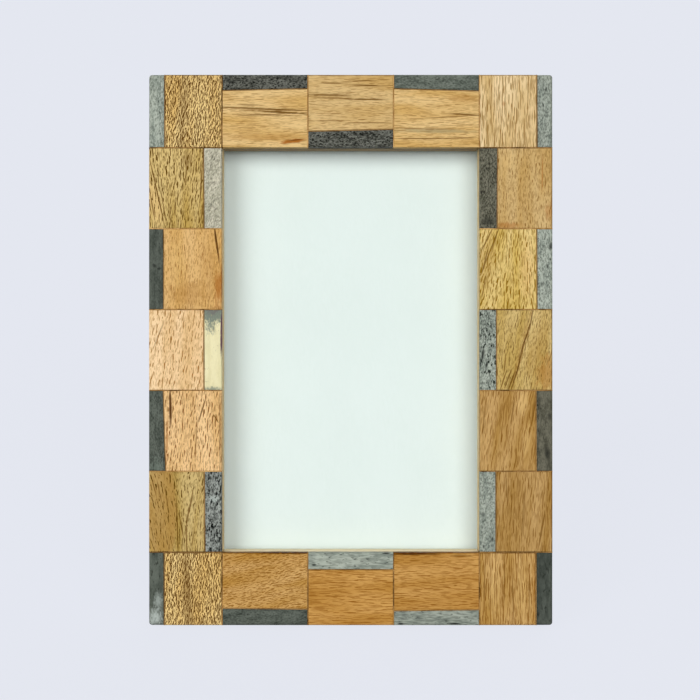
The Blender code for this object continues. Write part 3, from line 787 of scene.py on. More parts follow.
@dataclass
class Assembly:
    """What every sub-assembly shares: the loaded frame, its plane, and how its pieces are finished."""

    merge: ClassVar[float] = 0.002 * MM  # vertices nearer than this become one
    flat: ClassVar[float] = math.radians(1.0)  # faces that meet at less become one
    sharp: ClassVar[float] = math.radians(35.0)  # edges that turn by more are softened
    frame: dict
    plane: FacePlane

    def node(self, name: str) -> Piece:
        """Give a CAD node's object."""
        return self.frame["nodes"][name]

    def points(self, name: str) -> list[Vector]:
        """Give a CAD node's vertices in the frame's own axes."""
        return [self.plane.local(vert.co) for vert in self.node(name).data.vertices]

    def spot(self, name: str, tilt: float = 0.0) -> Spot:
        """Find where a node's pattern is centred and how it lies.

        Args:
            name: The CAD node.
            tilt: The turn about the frame's x axis, in radians.

        Returns:
            The node's middle and turn.
        """
        low, high = self.plane.box(self.node(name))
        middle = self.plane.matrix((low + high) / 2).translation
        return Spot(middle, self.plane.turn @ Matrix.Rotation(tilt, 3, "X"))

    def dress(self, name: str, finish: Finish, seed: float = 0.0) -> None:
        """Give a CAD node its finish, from its own part of the pattern."""
        coat(self.node(name), finish.dress(name, self.spot(name), seed))
        log.info(name)

    def soften(
        self, name: str, edge: float, body: str, slot: str, finish: Finish, tilt: float = 0.0
    ) -> None:
        """Replace a CAD node by a copy of it with merged faces, softened edges and smooth curves.

        Args:
            name: The CAD node.
            edge: The width of a softened edge.
            body: The body that it rides on.
            slot: Not used.
            finish: Its look.
            tilt: The turn of its pattern about the frame's x axis, in radians.
        """
        piece = bpy.data.objects.new(f"{name}_finished", self.node(name).data.copy())
        bpy.context.scene.collection.objects.link(piece)
        select_only(piece)
        bpy.ops.object.mode_set(mode="EDIT")
        bpy.ops.mesh.select_all(action="SELECT")
        bpy.ops.mesh.remove_doubles(threshold=self.merge)
        bpy.ops.mesh.dissolve_limited(angle_limit=self.flat)
        bpy.ops.object.mode_set(mode="OBJECT")
        bevel = piece.modifiers.new("softened_edges", "BEVEL")
        bevel.width, bevel.segments, bevel.limit_method = edge, 2, "ANGLE"
        bevel.angle_limit = self.sharp
        bpy.ops.object.modifier_apply(modifier=bevel.name)
        bpy.ops.object.shade_smooth_by_angle(angle=SMOOTH)
        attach(piece, body)
        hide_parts(name)
        coat(piece, finish.dress(name, self.spot(name, tilt)))
        log.info(piece.name)

    def studs(self, name: str, head: Pair, places: list[Matrix], body: str, spot: Spot) -> None:
        """Model a domed steel head and set a copy of it at each place.

        Args:
            name: The joined piece's name.
            head: A head's radius and height.
            places: The placing of each head.
            body: The body that they ride on.
            spot: Where their pattern is centred, and how it lies.
        """
        heads = copies(domed_head(*head), name, places)
        coat(heads, SteelFinish().dress(name, spot))
        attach(heads, body)
        log.info(name)


@dataclass(frozen=True)
class Course:
    """One course of the mosaic: its wood tile and its bone strip."""

    wood: WoodFinish
    bone: BoneFinish


def stains(tone: MarkTone, *rows: Row, soft: float = 0.7, ragged: float = 0.7) -> tuple[Mark, ...]:
    """Give marks of one tone; a row holds x, z, half width, half height, all in mm, tilt and strength."""
    return tuple(Mark(row[:2], row[2:4], row[4], tone, row[5], soft, ragged) for row in rows)


def veins(*rows: Row, tone: MarkTone = MarkTone.VEIN, ragged: float = 0.2) -> tuple[Mark, ...]:
    """Give fine veins or cracks, from rows like those of stains."""
    return stains(tone, *rows, soft=0.6, ragged=ragged)


COURSES = {
    "corner_top_left": Course(
        WoodFinish(WoodTone.GOLDEN, Pores.DENSE, 6, lift=0.97,
                   marks=stains(MarkTone.VEIN, (-3.4, 1, 2.4, 26, 3, 0.42), soft=0.9)),
        BoneFinish(BoneTone.SAGE, Flecks.SPARSE, 8),
    ),
    "top_1": Course(
        WoodFinish(WoodTone.STRAW, Pores.SILK, LEVEL, lift=0.97, wave=0.5, marks=(
            *stains(MarkTone.VEIN, (0, 2.8, 20, 1.7, 4, 0.34), soft=0.9, ragged=0.4),
            *veins((-4, 3.4, 0.4, 18, 92.5, 0.7), (6.5, 2, 0.46, 14, 94, 0.9),
                   (8, 2.9, 0.36, 12, 91.5, 0.75), (1.5, 1.2, 0.34, 12, 92, 0.7), ragged=0.5),
            *veins((-5.2, 4.6, 0.32, 6, 91, 0.65), (-6, 1, 0.3, 6, 92, 0.45)),
            *stains(MarkTone.STAIN, (0, -6.6, 20, 1.8, 0, 0.35)),
            *stains(MarkTone.RUST, (9.8, -7.9, 5.6, 1, -7, 0.95), soft=0.6, ragged=0.5),
            *veins((10.6, -7.5, 0.3, 3.6, 83, 0.65), tone=MarkTone.CRACK),
        )),
        BoneFinish(BoneTone.CHARCOAL, Flecks.SPECKLE, LEVEL, lift=1.03, grit=0.68),
    ),
    "top_2": Course(
        WoodFinish(WoodTone.STRAW, Pores.SILK, LEVEL, lift=0.86, wave=0.5, marks=(
            *veins((5.6, 6, 0.38, 7, 92, 0.85), (4, 7.6, 0.32, 6, 88, 0.75), (-6, 6.8, 0.3, 7, 90, 0.75)),
            *stains(MarkTone.VEIN, (-6, 2.6, 12, 1.3, 1, 0.3), soft=0.9, ragged=0.4),
            *veins((5.6, 1.2, 0.4, 10, 90, 0.85), (-8, 2.7, 0.42, 11, 91, 0.65),
                   (-6, 1.6, 0.34, 10, 91.5, 0.6), ragged=0.4),
            *veins((6, -6.9, 0.3, 11, 90, 0.65), (-7, -6.2, 0.3, 7, 90, 0.55)),
        )),
        BoneFinish(BoneTone.CHARCOAL, Flecks.SPECKLE, LEVEL, lift=1.12, grit=0.72),
    ),
    "top_3": Course(
        WoodFinish(WoodTone.STRAW, Pores.SILK, LEVEL, lift=0.96, wave=0.9, marks=(
            *veins((10, 1.3, 0.42, 8, 94, 0.85), (3, 0.4, 0.3, 13, 87, 0.55)),
            *stains(MarkTone.GREY_WAVE, (0, -4.4, 21, 1.1, 1, 0.6), soft=0.8, ragged=0.4),
            *veins((-4, -3.6, 0.3, 14, 90.5, 0.5), (-5, -7, 0.3, 14, 90, 0.75),
                   (8, -6.8, 0.3, 8, 89, 0.75)),
            *stains(MarkTone.STAIN, (9.5, 6.6, 7, 2, 2, 0.45)),
        )),
        BoneFinish(BoneTone.SLATE, Flecks.FINE, LEVEL, lift=1.28),
    ),
    "corner_top_right": Course(
        WoodFinish(WoodTone.PALE, Pores.WAVY, 0, lift=0.97, wave=0.5,
                   marks=stains(MarkTone.RUST, (-1.7, 2.6, 0.8, 1.2, 0, 0.45))),
        BoneFinish(BoneTone.SAGE, Flecks.SPARSE, 4, lift=0.82, grit=0.52, marks=(
            *stains(MarkTone.BLACK, (0.4, 7.5, 0.35, 1.2, 10, 0.85), (-0.6, 2, 0.35, 1, 0, 0.8),
                    ragged=0.3),
        )),
    ),
    "left_1": Course(
        WoodFinish(WoodTone.OLIVE, Pores.SLANTED, 2, fan=-0.014, lift=0.98, marks=(
            *stains(MarkTone.STRAW, (-7.6, -5, 3.2, 12, -12, 0.6), soft=0.8, ragged=0.3),
            *veins((-6.7, -1, 0.32, 17, -12.6, 0.95), (-8.3, -6, 0.28, 8, -10, 0.8),
                   (-4.4, -6.5, 0.28, 9, -9, 0.75), (-2.4, -8.5, 0.28, 6, -7, 0.65),
                   (3.4, 6, 0.45, 8, 4, 0.55), (8.6, 2, 0.45, 9, 3, 0.7), (8.9, -8, 0.35, 4, 5, 0.75)),
            *stains(MarkTone.VEIN, (3.7, 10, 2.5, 3.4, 0, 0.45)),
        )),
        BoneFinish(BoneTone.BEIGE, Flecks.FINE, 20),
    ),
    "left_2": Course(
        WoodFinish(WoodTone.TAN, Pores.SMOOTH, 3, lift=0.96, marks=(
            *veins((8.2, 9, 0.5, 9, -8, 0.95), tone=MarkTone.CRACK),
            *stains(MarkTone.RUST, (9.2, -6, 2.4, 9, 6, 0.75)),
            *stains(MarkTone.STAIN, (-1.1, -8.5, 8.5, 6, 0, 0.45)),
            *stains(MarkTone.STRAW, (-5.5, 3, 4, 14, 0, 0.4), soft=0.9),
            *stains(MarkTone.STAIN, (5.5, 0, 4.5, 16, 0, 0.3), soft=0.9),
        )),
        BoneFinish(BoneTone.SLATE, Flecks.SPARSE, 0, lift=0.85, grit=0.25, marks=(
            *stains(MarkTone.BLACK, (-0.6, 1.2, 1.1, 0.8, 30, 0.7), (1, 0.2, 0.9, 0.6, -20, 0.7)),
        )),
    ),
    "left_3": Course(
        WoodFinish(WoodTone.PEACH, Pores.SHORT, 6, lift=0.97, marks=veins((-6.2, 5, 0.4, 7, 22, 0.45))),
        BoneFinish(BoneTone.CREAM, Flecks.SPARSE, 0, grit=0.05, marks=(
            *stains(MarkTone.SMOKE, (0, 13, 7, 4.6, 0, 0.95), soft=0.5, ragged=0.5),
            *stains(MarkTone.SMOKE, (-0.8, 8.4, 2.6, 3.6, 0, 0.85), soft=0.9, ragged=0.9),
            *stains(MarkTone.PLUM, (0, 13.4, 3.2, 2, 0, 0.35), soft=0.9, ragged=0.9),
            *stains(MarkTone.SMOKE, (0, -13.6, 4.5, 1.2, 0, 0.75)),
            *stains(MarkTone.PLUM, (2.9, 5.6, 0.5, 9.5, 1, 0.95), soft=0.5, ragged=0.15),
        )),
    ),
    "left_4": Course(
        WoodFinish(WoodTone.APRICOT, Pores.SHORT, 4, marks=(
            *veins((-7.7, 8, 0.62, 9, -1, 0.95), tone=MarkTone.CRACK),
            *veins((3.2, 7, 0.34, 7, 17, 0.85), (1.2, -3, 0.28, 9, 3, 0.6)),
            *veins((-8.9, -3, 0.4, 12, 1, 0.6), tone=MarkTone.RUST),
            *veins((8.1, 4.2, 0.34, 2.4, -30, 0.85)),
            *veins((9.4, 0, 0.34, 18, 0, 0.55), tone=MarkTone.CRACK),
        )),
        BoneFinish(BoneTone.SLATE, Flecks.FINE, 0, lift=0.94, grit=0.42,
                   marks=stains(MarkTone.SMOKE, (0, -13, 4.5, 4.5, 0, 0.45), soft=0.9, ragged=0.9)),
    ),
    "left_5": Course(
        WoodFinish(WoodTone.OLIVE, Pores.FINE, -3, fan=-0.022, lift=0.87, marks=(
            *stains(MarkTone.OCHRE, (-5.2, 0, 5.8, 22, 0, 0.55), soft=0.25, ragged=0.1),
            *veins((0.2, -5, 0.3, 14, -2, 0.85), (1.6, -5, 0.3, 7, -11, 0.8), (4.9, 3.5, 0.3, 7, 10, 0.8),
                   (3.6, -3, 0.3, 8, 7, 0.8), (3.4, -10, 0.3, 6, 0, 0.8), (5.6, -9, 0.26, 6, 9, 0.55),
                   (-8, 9, 0.28, 6, -14, 0.65), (-6, 7, 0.28, 6, -12, 0.6), (-3.4, 4, 0.28, 7, -9, 0.55)),
        )),
        BoneFinish(BoneTone.PEPPER, Flecks.CHIPS, 6, lift=0.88, grit=0.7,
                   marks=stains(MarkTone.MILK, (0.2, 4.4, 2.4, 1.8, 0, 0.6), soft=0.9, ragged=0.8)),
    ),
    "right_1": Course(
        WoodFinish(WoodTone.STRAW, Pores.SMOOTH, 2, lift=0.8, marks=(
            *veins((6, 5, 0.36, 9, 1, 0.5), tone=MarkTone.RUST),
            *stains(MarkTone.RUST, (-6, -12.8, 7, 1.4, 0, 0.5), (8.5, -8, 2, 4, 0, 0.4)),
            *stains(MarkTone.STRAW, (-5.9, 9.6, 3, 5, 0, 0.3)),
        )),
        BoneFinish(BoneTone.UMBER, Flecks.FINE, 4, lift=1.08, grit=0.72,
                   marks=stains(MarkTone.BLACK, (0, -11.5, 3.6, 1.8, 0, 0.6), soft=0.9, ragged=0.8)),
    ),
    "right_2": Course(
        WoodFinish(WoodTone.YELLOW, Pores.SLANTED, 5, fan=0.016, lift=1.03, marks=(
            *stains(MarkTone.GILT, (-7.6, 2, 4.4, 16, 8, 0.34), soft=0.9),
            *veins((-6, 7, 0.32, 11, 21, 0.75), (-7.6, 9.7, 0.32, 7.5, 27, 0.75),
                   (-8, 3, 0.32, 8, 14, 0.75), (-4.6, 10, 0.3, 6, 18, 0.7), (-8.4, -6, 0.3, 7, 10, 0.65)),
            *stains(MarkTone.STRAW, (6.5, 0, 3.4, 14, 0, 0.55)),
        )),
        BoneFinish(BoneTone.SAGE, Flecks.SPARSE, 0, lift=0.95, grit=0.56, marks=(
            *stains(MarkTone.BLACK, (2, 8, 0.9, 1.8, 10, 0.75)),
            *stains(MarkTone.BLACK, (0.9, 1, 0.35, 1, 0, 0.8), ragged=0.3),
        )),
    ),
    "right_3": Course(
        WoodFinish(WoodTone.OLIVE, Pores.SMOOTH, 8, lift=0.94, marks=(
            *stains(MarkTone.GILT, (4, 0, 6, 20, 12, 0.26), soft=0.9),
            *stains(MarkTone.GILT, (-0.9, 0.4, 1.1, 22, 14.4, 0.5), soft=0.9, ragged=0.8),
            *veins((2.3, 10.6, 0.34, 6, 9, 0.7), tone=MarkTone.CRACK, ragged=0.5),
            *veins((1, 6.2, 0.32, 6, 17, 0.85), ragged=0.5),
            *veins((-0.6, 1.4, 0.34, 6, 18, 0.7), tone=MarkTone.CRACK, ragged=0.5),
            *veins((-1.7, -3.6, 0.32, 6, 13, 0.85), ragged=0.5),
            *veins((-3.2, -9, 0.34, 6, 17, 0.7), tone=MarkTone.CRACK, ragged=0.5),
            *stains(MarkTone.STAIN, (8, -8, 4.8, 8.5, 5, 0.7)),
            *veins((-4.5, -10.5, 0.4, 5.4, 20, 0.85), (-5.8, -10, 0.34, 5, 20, 0.8),
                   (-7.4, -10.5, 0.32, 5, 18, 0.75), (-6.9, -5, 0.28, 5.5, 6, 0.75)),
        )),
        BoneFinish(BoneTone.SAGE, Flecks.CHIPS, 3, lift=0.93, grit=0.55, marks=(
            *stains(MarkTone.BLACK, (-1.8, -1.5, 0.6, 3, 8, 0.9), (-0.4, -5, 0.5, 1.6, 12, 0.9),
                    ragged=0.4),
        )),
    ),
    "right_4": Course(
        WoodFinish(WoodTone.BROWN, Pores.LINES, 7, lift=0.98, marks=(
            *stains(MarkTone.STRAW, (5.3, 9.6, 2.6, 6, 10, 0.55), (6.6, -3, 1.8, 8, 8, 0.4)),
            *veins((1.6, 6.5, 0.36, 7, 8, 0.6), (8.8, 7, 0.36, 6, 6, 0.6), (-8.4, 3, 0.36, 7, 4, 0.55)),
        )),
        BoneFinish(BoneTone.UMBER, Flecks.SPARSE, 0, lift=0.94, grit=0.33,
                   marks=stains(MarkTone.BLACK, (1.8, 4.8, 1, 1.8, 0, 0.6), (1, -7.8, 1.4, 3.4, -8, 0.7))),
    ),
    "right_5": Course(
        WoodFinish(WoodTone.BROWN, Pores.LINES, 3, lift=0.91, marks=(
            *veins((-0.4, -0.8, 0.55, 13, 4, 0.4), (6, -6, 0.4, 8.6, 10, 0.6), (-6.2, 8, 0.36, 6, -3, 0.5)),
        )),
        BoneFinish(BoneTone.SAGE, Flecks.FINE, 12, lift=0.89, grit=0.47, marks=(
            *stains(MarkTone.BLACK, (-1.6, -1, 0.9, 1.2, 0, 0.6), soft=0.9, ragged=0.8),
            *stains(MarkTone.BLACK, (1.6, -9.5, 0.6, 1.2, 10, 0.8), (-1.4, -12, 0.5, 0.9, 0, 0.8),
                    soft=0.8, ragged=0.6),
        )),
    ),
    "corner_bottom_left": Course(
        WoodFinish(WoodTone.GOLDEN, Pores.DENSE, 4, lift=0.98,
                   marks=stains(MarkTone.VEIN, (-2, -1, 2.5, 34, -3, 0.58), soft=0.9)),
        BoneFinish(BoneTone.SLATE, Flecks.FINE, 0, grit=0.1, marks=(
            *stains(MarkTone.MILK, (0.6, -4, 2.2, 4, 0, 0.45), (-0.4, -10, 3.4, 4.6, 0, 0.8), soft=0.9,
                    ragged=0.5),
        )),
    ),
    "bottom_1": Course(
        WoodFinish(WoodTone.AMBER, Pores.CHEVRON, 78, wave=1.2,
                   marks=stains(MarkTone.CRACK, (9, 9.6, 16, 0.62, 0, 0.95), ragged=0.3)),
        BoneFinish(BoneTone.SLATE, Flecks.FINE, LEVEL, lift=0.96, grit=0.42),
    ),
    "bottom_2": Course(
        WoodFinish(WoodTone.HONEY, Pores.LINES, LEVEL, wave=0.35),
        BoneFinish(BoneTone.SAGE, Flecks.FINE, LEVEL, lift=0.97, grit=0.3, draw=3, marks=(
            *stains(MarkTone.BLACK, (-12.7, -1.4, 1.1, 0.45, 0, 0.95), (12.3, 2.6, 1.7, 0.4, 0, 0.85),
                    ragged=0.3),
        )),
    ),
    "bottom_3": Course(
        WoodFinish(WoodTone.HONEY, Pores.LINES, LEVEL, lift=0.95, wave=0.35, marks=(
            *stains(MarkTone.CRACK, (-9.5, 9.6, 15, 0.62, 0, 0.95), ragged=0.3),
            *stains(MarkTone.VEIN, (8, 8.9, 5, 0.5, 0, 0.6)),
        )),
        BoneFinish(BoneTone.SAGE, Flecks.FINE, LEVEL, lift=0.82, grit=0.42, draw=3, marks=(
            *stains(MarkTone.BLACK, (-12.3, -2.1, 1.4, 0.5, 0, 0.95), (6.2, -2, 3, 0.45, 0, 0.9),
                    ragged=0.3),
        )),
    ),
    "corner_bottom_right": Course(
        WoodFinish(WoodTone.BROWN, Pores.WAVY, 0, lift=1.07, wave=0.4, marks=(
            *stains(MarkTone.STRAW, (-4.6, 0, 2.6, 18, 0, 0.38), (4.8, 0, 2.6, 18, 0, 0.38), soft=0.9),
            *veins((-1.2, 2, 0.32, 12, 1, 0.55), (1.8, -4, 0.3, 12, -1, 0.55), (-8, 3, 0.3, 12, 1, 0.5),
                   (7.4, -2, 0.3, 12, 0, 0.5)),
            *stains(MarkTone.STAIN, (9.2, 0, 1.6, 20, 0, 0.55), soft=0.8),
        )),
        BoneFinish(BoneTone.SLATE, Flecks.FINE, 0, lift=0.68, grit=0.12),
    ),
}


@dataclass
class Mosaic(Assembly):
    """The front of hand-cut wood tiles and bone strips, with glue in every joint."""

    bead_width: float = 0.28 * MM
    bead_depth: float = 2.7 * MM
    bead_sink: float = 0.03 * MM  # below the tiles' faces
    bead_hollow: float = 0.05 * MM  # how far its face sinks in
    tight: tuple[str, ...] = (  # joints with little glue in them
        "left_2|left_1", "left_5|left_4", "right_2|right_1", "top_1|top_2", "top_2|top_3",
        "top_3|corner_top_right",
    )
    runs: tuple[tuple[str, int], ...] = (  # each side with its long axis
        ("left", 2), ("right", 2), ("top", 0), ("bottom", 0),
    )
    end_reach: float = 0.5 * MM  # vertices nearer than this to a tile's end belong to it
    rim_reach: float = 1.0 * MM  # tiles nearer than this to an outer edge end at it
    edge_shade: float = 0.65  # how dark the painted shade along a tile's rim is
    edge_shade_width: float = 0.5  # mm

    def build(self) -> None:
        """Dress every tile and strip, then fill the joints."""
        for i, (name, course) in enumerate(COURSES.items()):
            # Tiles at the frame's top and right and at the sill get a thin line of painted shade on their rim
            edge_shaded = replace(course.wood, marks=course.wood.marks + self.rim(name))
            self.dress(f"wood_tile_{name}", edge_shaded, 1.0 + i)
            self.dress(f"bone_strip_{name}", course.bone, 1.0 + i)
        strips = [self.strip_joint(name) for name in COURSES]
        self.fill("strip_glue_lines", strips, GlueFinish("#a58355", "#7d5d34"))
        joints = self.course_joints()
        tight = [joints.pop(pair) for pair in self.tight]
        self.fill("tight_glue_lines", tight, GlueFinish("#d8b074", "#a67c44"))
        self.fill("course_glue_lines", list(joints.values()), GlueFinish("#b08750", "#5f421f"))

    def rim(self, course: str) -> tuple[Mark, ...]:
        """Give a thin dark line of painted shade where a wood tile ends at the sill or at the frame's top or
        right.

        Args:
            course: The course's name.

        Returns:
            The marks, if any.
        """
        low, high = self.plane.box(self.node(f"wood_tile_{course}"))
        wide, tall = (high.x - low.x) / 2 / MM, (high.z - low.z) / 2 / MM
        top, sill, side = (
            self.plane.box(self.node(name))[1] for name in ("top_rail", "bottom_rail", "right_stile")
        )
        rows = []  # each four times as long as its tile, so that it is even from end to end
        if min(abs(high.z - top.z), abs(high.z - sill.z)) < self.rim_reach:
            rows.append((0.0, tall, 4 * wide, self.edge_shade_width, 0.0, self.edge_shade))
        if high.x > side.x - self.rim_reach:
            rows.append((wide, 0.0, self.edge_shade_width, 4 * tall, 0.0, self.edge_shade))
        # The crack tone here is painted shade along the rim, not a crack
        return stains(MarkTone.CRACK, *rows, soft=0.8, ragged=0.5)

    def fill(self, name: str, joints: list[Matrix], finish: GlueFinish) -> None:
        """Model one bead of glue and lay a copy of it in each joint.

        Args:
            name: The joined piece's name.
            joints: The placing of each bead, with its length along z.
            finish: The glue's look.
        """
        bpy.ops.object.select_all(action="DESELECT")
        bpy.ops.mesh.primitive_cube_add(size=1.0)
        bead = bpy.context.object
        bpy.ops.object.mode_set(mode="EDIT")
        bpy.ops.transform.resize(value=(self.bead_width, self.bead_depth, 1.0))
        bpy.ops.mesh.select_all(action="DESELECT")
        bpy.ops.object.mode_set(mode="OBJECT")
        for face in bead.data.polygons:
            face.select = face.normal.y < -0.5
        bpy.ops.object.mode_set(mode="EDIT")
        bpy.ops.mesh.inset(thickness=self.bead_hollow)
        bpy.ops.transform.translate(value=(0.0, self.bead_hollow, 0.0))
        bpy.ops.object.mode_set(mode="OBJECT")
        glue = copies(bead, name, joints)
        coat(glue, finish.dress(name, self.spot("photo_card")))
        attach(glue, "frame")
        log.info(name)

    def bead(self, start: Vector, end: Vector) -> Matrix:
        """Lay a bead of unit length along a joint.

        Args:
            start: The joint's one end, on the tiles' face.
            end: Its other end.

        Returns:
            The placing of the bead.
        """
        middle = (start + end) / 2
        middle.y += self.bead_sink + self.bead_depth / 2
        run = end - start
        place = self.plane.matrix(middle, math.atan2(run.x, run.z))
        return place @ Matrix.Diagonal((1.0, 1.0, run.length, 1.0))

    def strip_joint(self, course: str) -> Matrix:
        """Find the joint between a course's tile and its strip, which may slant.

        Args:
            course: The course's name.

        Returns:
            The placing of its bead.
        """
        wood, bone = self.points(f"wood_tile_{course}"), self.points(f"bone_strip_{course}")
        gap = sum(bone, Vector()) / len(bone) - sum(wood, Vector()) / len(wood)
        across, along = (0, 2) if abs(gap.x) > abs(gap.z) else (2, 0)
        sign = math.copysign(1.0, gap[across])
        ends = []
        for pick in (min, max):
            edge = pick(p[along] for p in wood)
            here = max(sign * p[across] for p in wood if abs(p[along] - edge) < self.end_reach)
            there = min(sign * p[across] for p in bone if abs(p[along] - edge) < self.end_reach)
            place = Vector((0.0, min(p.y for p in wood), 0.0))
            place[along], place[across] = edge, sign * (here + there) / 2
            ends.append(place)
        return self.bead(*ends)

    def course_joints(self) -> dict[str, Matrix]:
        """Find the joints between neighbouring courses, up the columns and along the rails.

        Returns:
            The placing of each bead, by the names of the two courses.
        """
        beads = {}
        for side, along in self.runs:
            boxes = {
                name: self.plane.box(self.node(f"wood_tile_{name}"), self.node(f"bone_strip_{name}"))
                for name in COURSES if side in name.split("_")
            }
            names = sorted(boxes, key=lambda name: boxes[name][0][along])
            for name, beyond in zip(names, names[1:]):
                start, end = boxes[name]
                start[along] = end[along] = (end[along] + boxes[beyond][0][along]) / 2
                end.y = start.y
                beads[f"{name}|{beyond}"] = self.bead(start, end)
        return beads


@dataclass
class BaseFrame(Assembly):
    """The four lapped fibreboard members behind the mosaic."""

    stiles: tuple[str, ...] = ("left_stile", "right_stile")
    rails: tuple[tuple[str, int, MarkTone], ...] = (  # each with the side of its lip, and its painted shade (top rail) or painted light (bottom rail)
        # The top rail's lip faces down and gets painted shade; the bottom rail's lip faces up and gets
        # painted light
        ("top_rail", -1, MarkTone.GRIME), ("bottom_rail", 1, MarkTone.DUST),
    )
    lip_shading: float = 0.85  # how much of the lip's own colour the painted shade and painted light cover
    lip_shading_width: float = 1.2  # mm

    def build(self) -> None:
        """Dress each member, the rails with painted shade on the top rail's lip and painted light on the
        bottom rail's lip.
        """
        for name in self.stiles:
            self.dress(name, FibreboardFinish())
        for name, side, tone in self.rails:
            low, high = self.plane.box(self.node(name))
            wide, tall = (high.x - low.x) / MM, (high.z - low.z) / MM
            # A band along the lip: painted shade on the top rail, painted light on the bottom rail
            lip = (0.0, side * tall / 2, wide, self.lip_shading_width, 0.0, self.lip_shading)
            self.dress(name, FibreboardFinish(marks=stains(tone, lip, soft=0.6, ragged=0.2)))


@dataclass
class Layers(Assembly):
    """The pane, the card and the back board in the rebate."""

    board_edge: float = 0.25 * MM

    def build(self) -> None:
        """Dress the pane and the card, and soften the board's edges."""
        self.dress("glass_pane", GlassFinish())
        self.dress("photo_card", CardFinish())
        self.soften("back_board", self.board_edge, "frame", "black_board", BackingFinish())


@dataclass
class TurnButtons(Assembly):
    """The four swivelling buttons and their slotted screws."""

    places: tuple[str, ...] = ("left_upper", "left_lower", "right_upper", "right_lower")
    button_edge: float = 0.25 * MM
    screw_edge: float = 0.08 * MM

    def build(self) -> None:
        """Round the buttons and screws and dress them."""
        for place in self.places:
            button = f"turn_button_{place}"
            self.soften(button, self.button_edge, button, "steel", SteelFinish())
            self.soften(f"screw_{place}", self.screw_edge, "frame", "steel", SteelFinish())


@dataclass
class EaselStand(Assembly):
    """The easel leg and its hinge, with rivets through the plate and the leaf."""

    leg_edge: float = 0.3 * MM
    sheet_edge: float = 0.15 * MM
    rivet: Pair = (2.1 * MM, 0.9 * MM)  # radius and height of its head
    knuckle: float = 10.0 * MM  # what lies further above the pin is the plate's flat
    plate_rivets: tuple[Pair, ...] = ((-7.5, 8.5), (7.5, 8.5), (0.0, 14.5))  # mm from the pin
    leaf_rivets: tuple[Pair, ...] = ((-6.0, -10.0), (6.0, -10.0), (0.0, -18.0))

    def build(self) -> None:
        """Round and dress the hinge and the leg, then rivet them."""
        fold = next(j for j in self.frame["joints"] if j["name"] == "easel_fold")
        opening = math.radians(-min(fold["range_deg"]))
        self.soften("hinge_plate", self.sheet_edge, "frame", "steel", SteelFinish())
        self.soften("hinge_pin", self.sheet_edge, "frame", "steel", SteelFinish())
        self.soften("hinge_leaf", self.sheet_edge, "easel", "steel", SteelFinish(), opening)
        self.soften("easel_leg", self.leg_edge, "easel", "black_board", BackingFinish(), opening)
        self.set_rivets(fold["pos_m"], opening)

    def set_rivets(self, hinge: Triple, opening: float) -> None:
        """Set the rivets on the plate and on the leaf.

        Args:
            hinge: The place of the hinge's pin.
            opening: The angle of the open leg from the frame, in radians.
        """
        pin = self.plane.local(Vector(hinge))
        face = max(p.y for p in self.points("hinge_plate") if p.z > pin.z + self.knuckle)
        places = [self.plane.matrix((x * MM, face, pin.z + z * MM)) for x, z in self.plate_rivets]
        self.studs("hinge_plate_rivets", self.rivet, places, "frame", self.spot("hinge_plate"))
        lean = self.plane.turn @ Matrix.Rotation(opening, 3, "X")
        swing = Matrix.Translation(hinge) @ lean.to_4x4()
        back = swing.inverted()
        face = max((back @ vert.co).y for vert in self.node("hinge_leaf").data.vertices)
        places = [swing @ Matrix.Translation((x * MM, face, z * MM)) for x, z in self.leaf_rivets]
        self.studs("hinge_leaf_rivets", self.rivet, places, "easel", self.spot("hinge_leaf", opening))


@dataclass
class Hanger(Assembly):
    """The sawtooth hanger and the two nails that hold it."""

    edge: float = 0.12 * MM
    nail: Pair = (1.7 * MM, 0.6 * MM)  # radius and height of its head
    nail_inset: float = 4.0 * MM  # from the strip's ends

    def build(self) -> None:
        """Round and dress the strip, then nail it."""
        self.soften("sawtooth_hanger", self.edge, "frame", "steel", SteelFinish())
        low, high = self.plane.box(self.node("sawtooth_hanger"))
        out = high.x - self.nail_inset
        face = max(p.y for p in self.points("sawtooth_hanger") if p.x > out)
        places = [self.plane.matrix((x, face, (high.z + low.z) / 2)) for x in (-out, out)]
        self.studs("hanger_nails", self.nail, places, "frame", self.spot("sawtooth_hanger"))


@dataclass(frozen=True)
class SoftLamp:
    """A wide soft light: its strength in W/m2, its width, and how far right and up it stands, in degrees."""

    name: str
    strength: float
    spread: float
    right: float
    up: float

    def hang(self, plane: FacePlane) -> None:
        """Hang the lamp, with its angles taken from the normal of the frame's face.

        Args:
            plane: The frame's leaning plane.
        """
        lamp = bpy.data.lights.new(self.name, "SUN")
        lamp.energy, lamp.angle = self.strength, math.radians(self.spread)
        sun = bpy.data.objects.new(self.name, lamp)
        right, up = math.radians(self.right), math.radians(self.up)
        ahead = Vector((math.sin(right) * math.cos(up), -math.cos(right) * math.cos(up), math.sin(up)))
        sun.rotation_euler = (plane.turn @ ahead).to_track_quat("Z", "Y").to_euler()
        # Its wide disc would otherwise show as a veil in the glass
        sun.visible_glossy = sun.visible_transmission = False
        bpy.context.scene.collection.objects.link(sun)


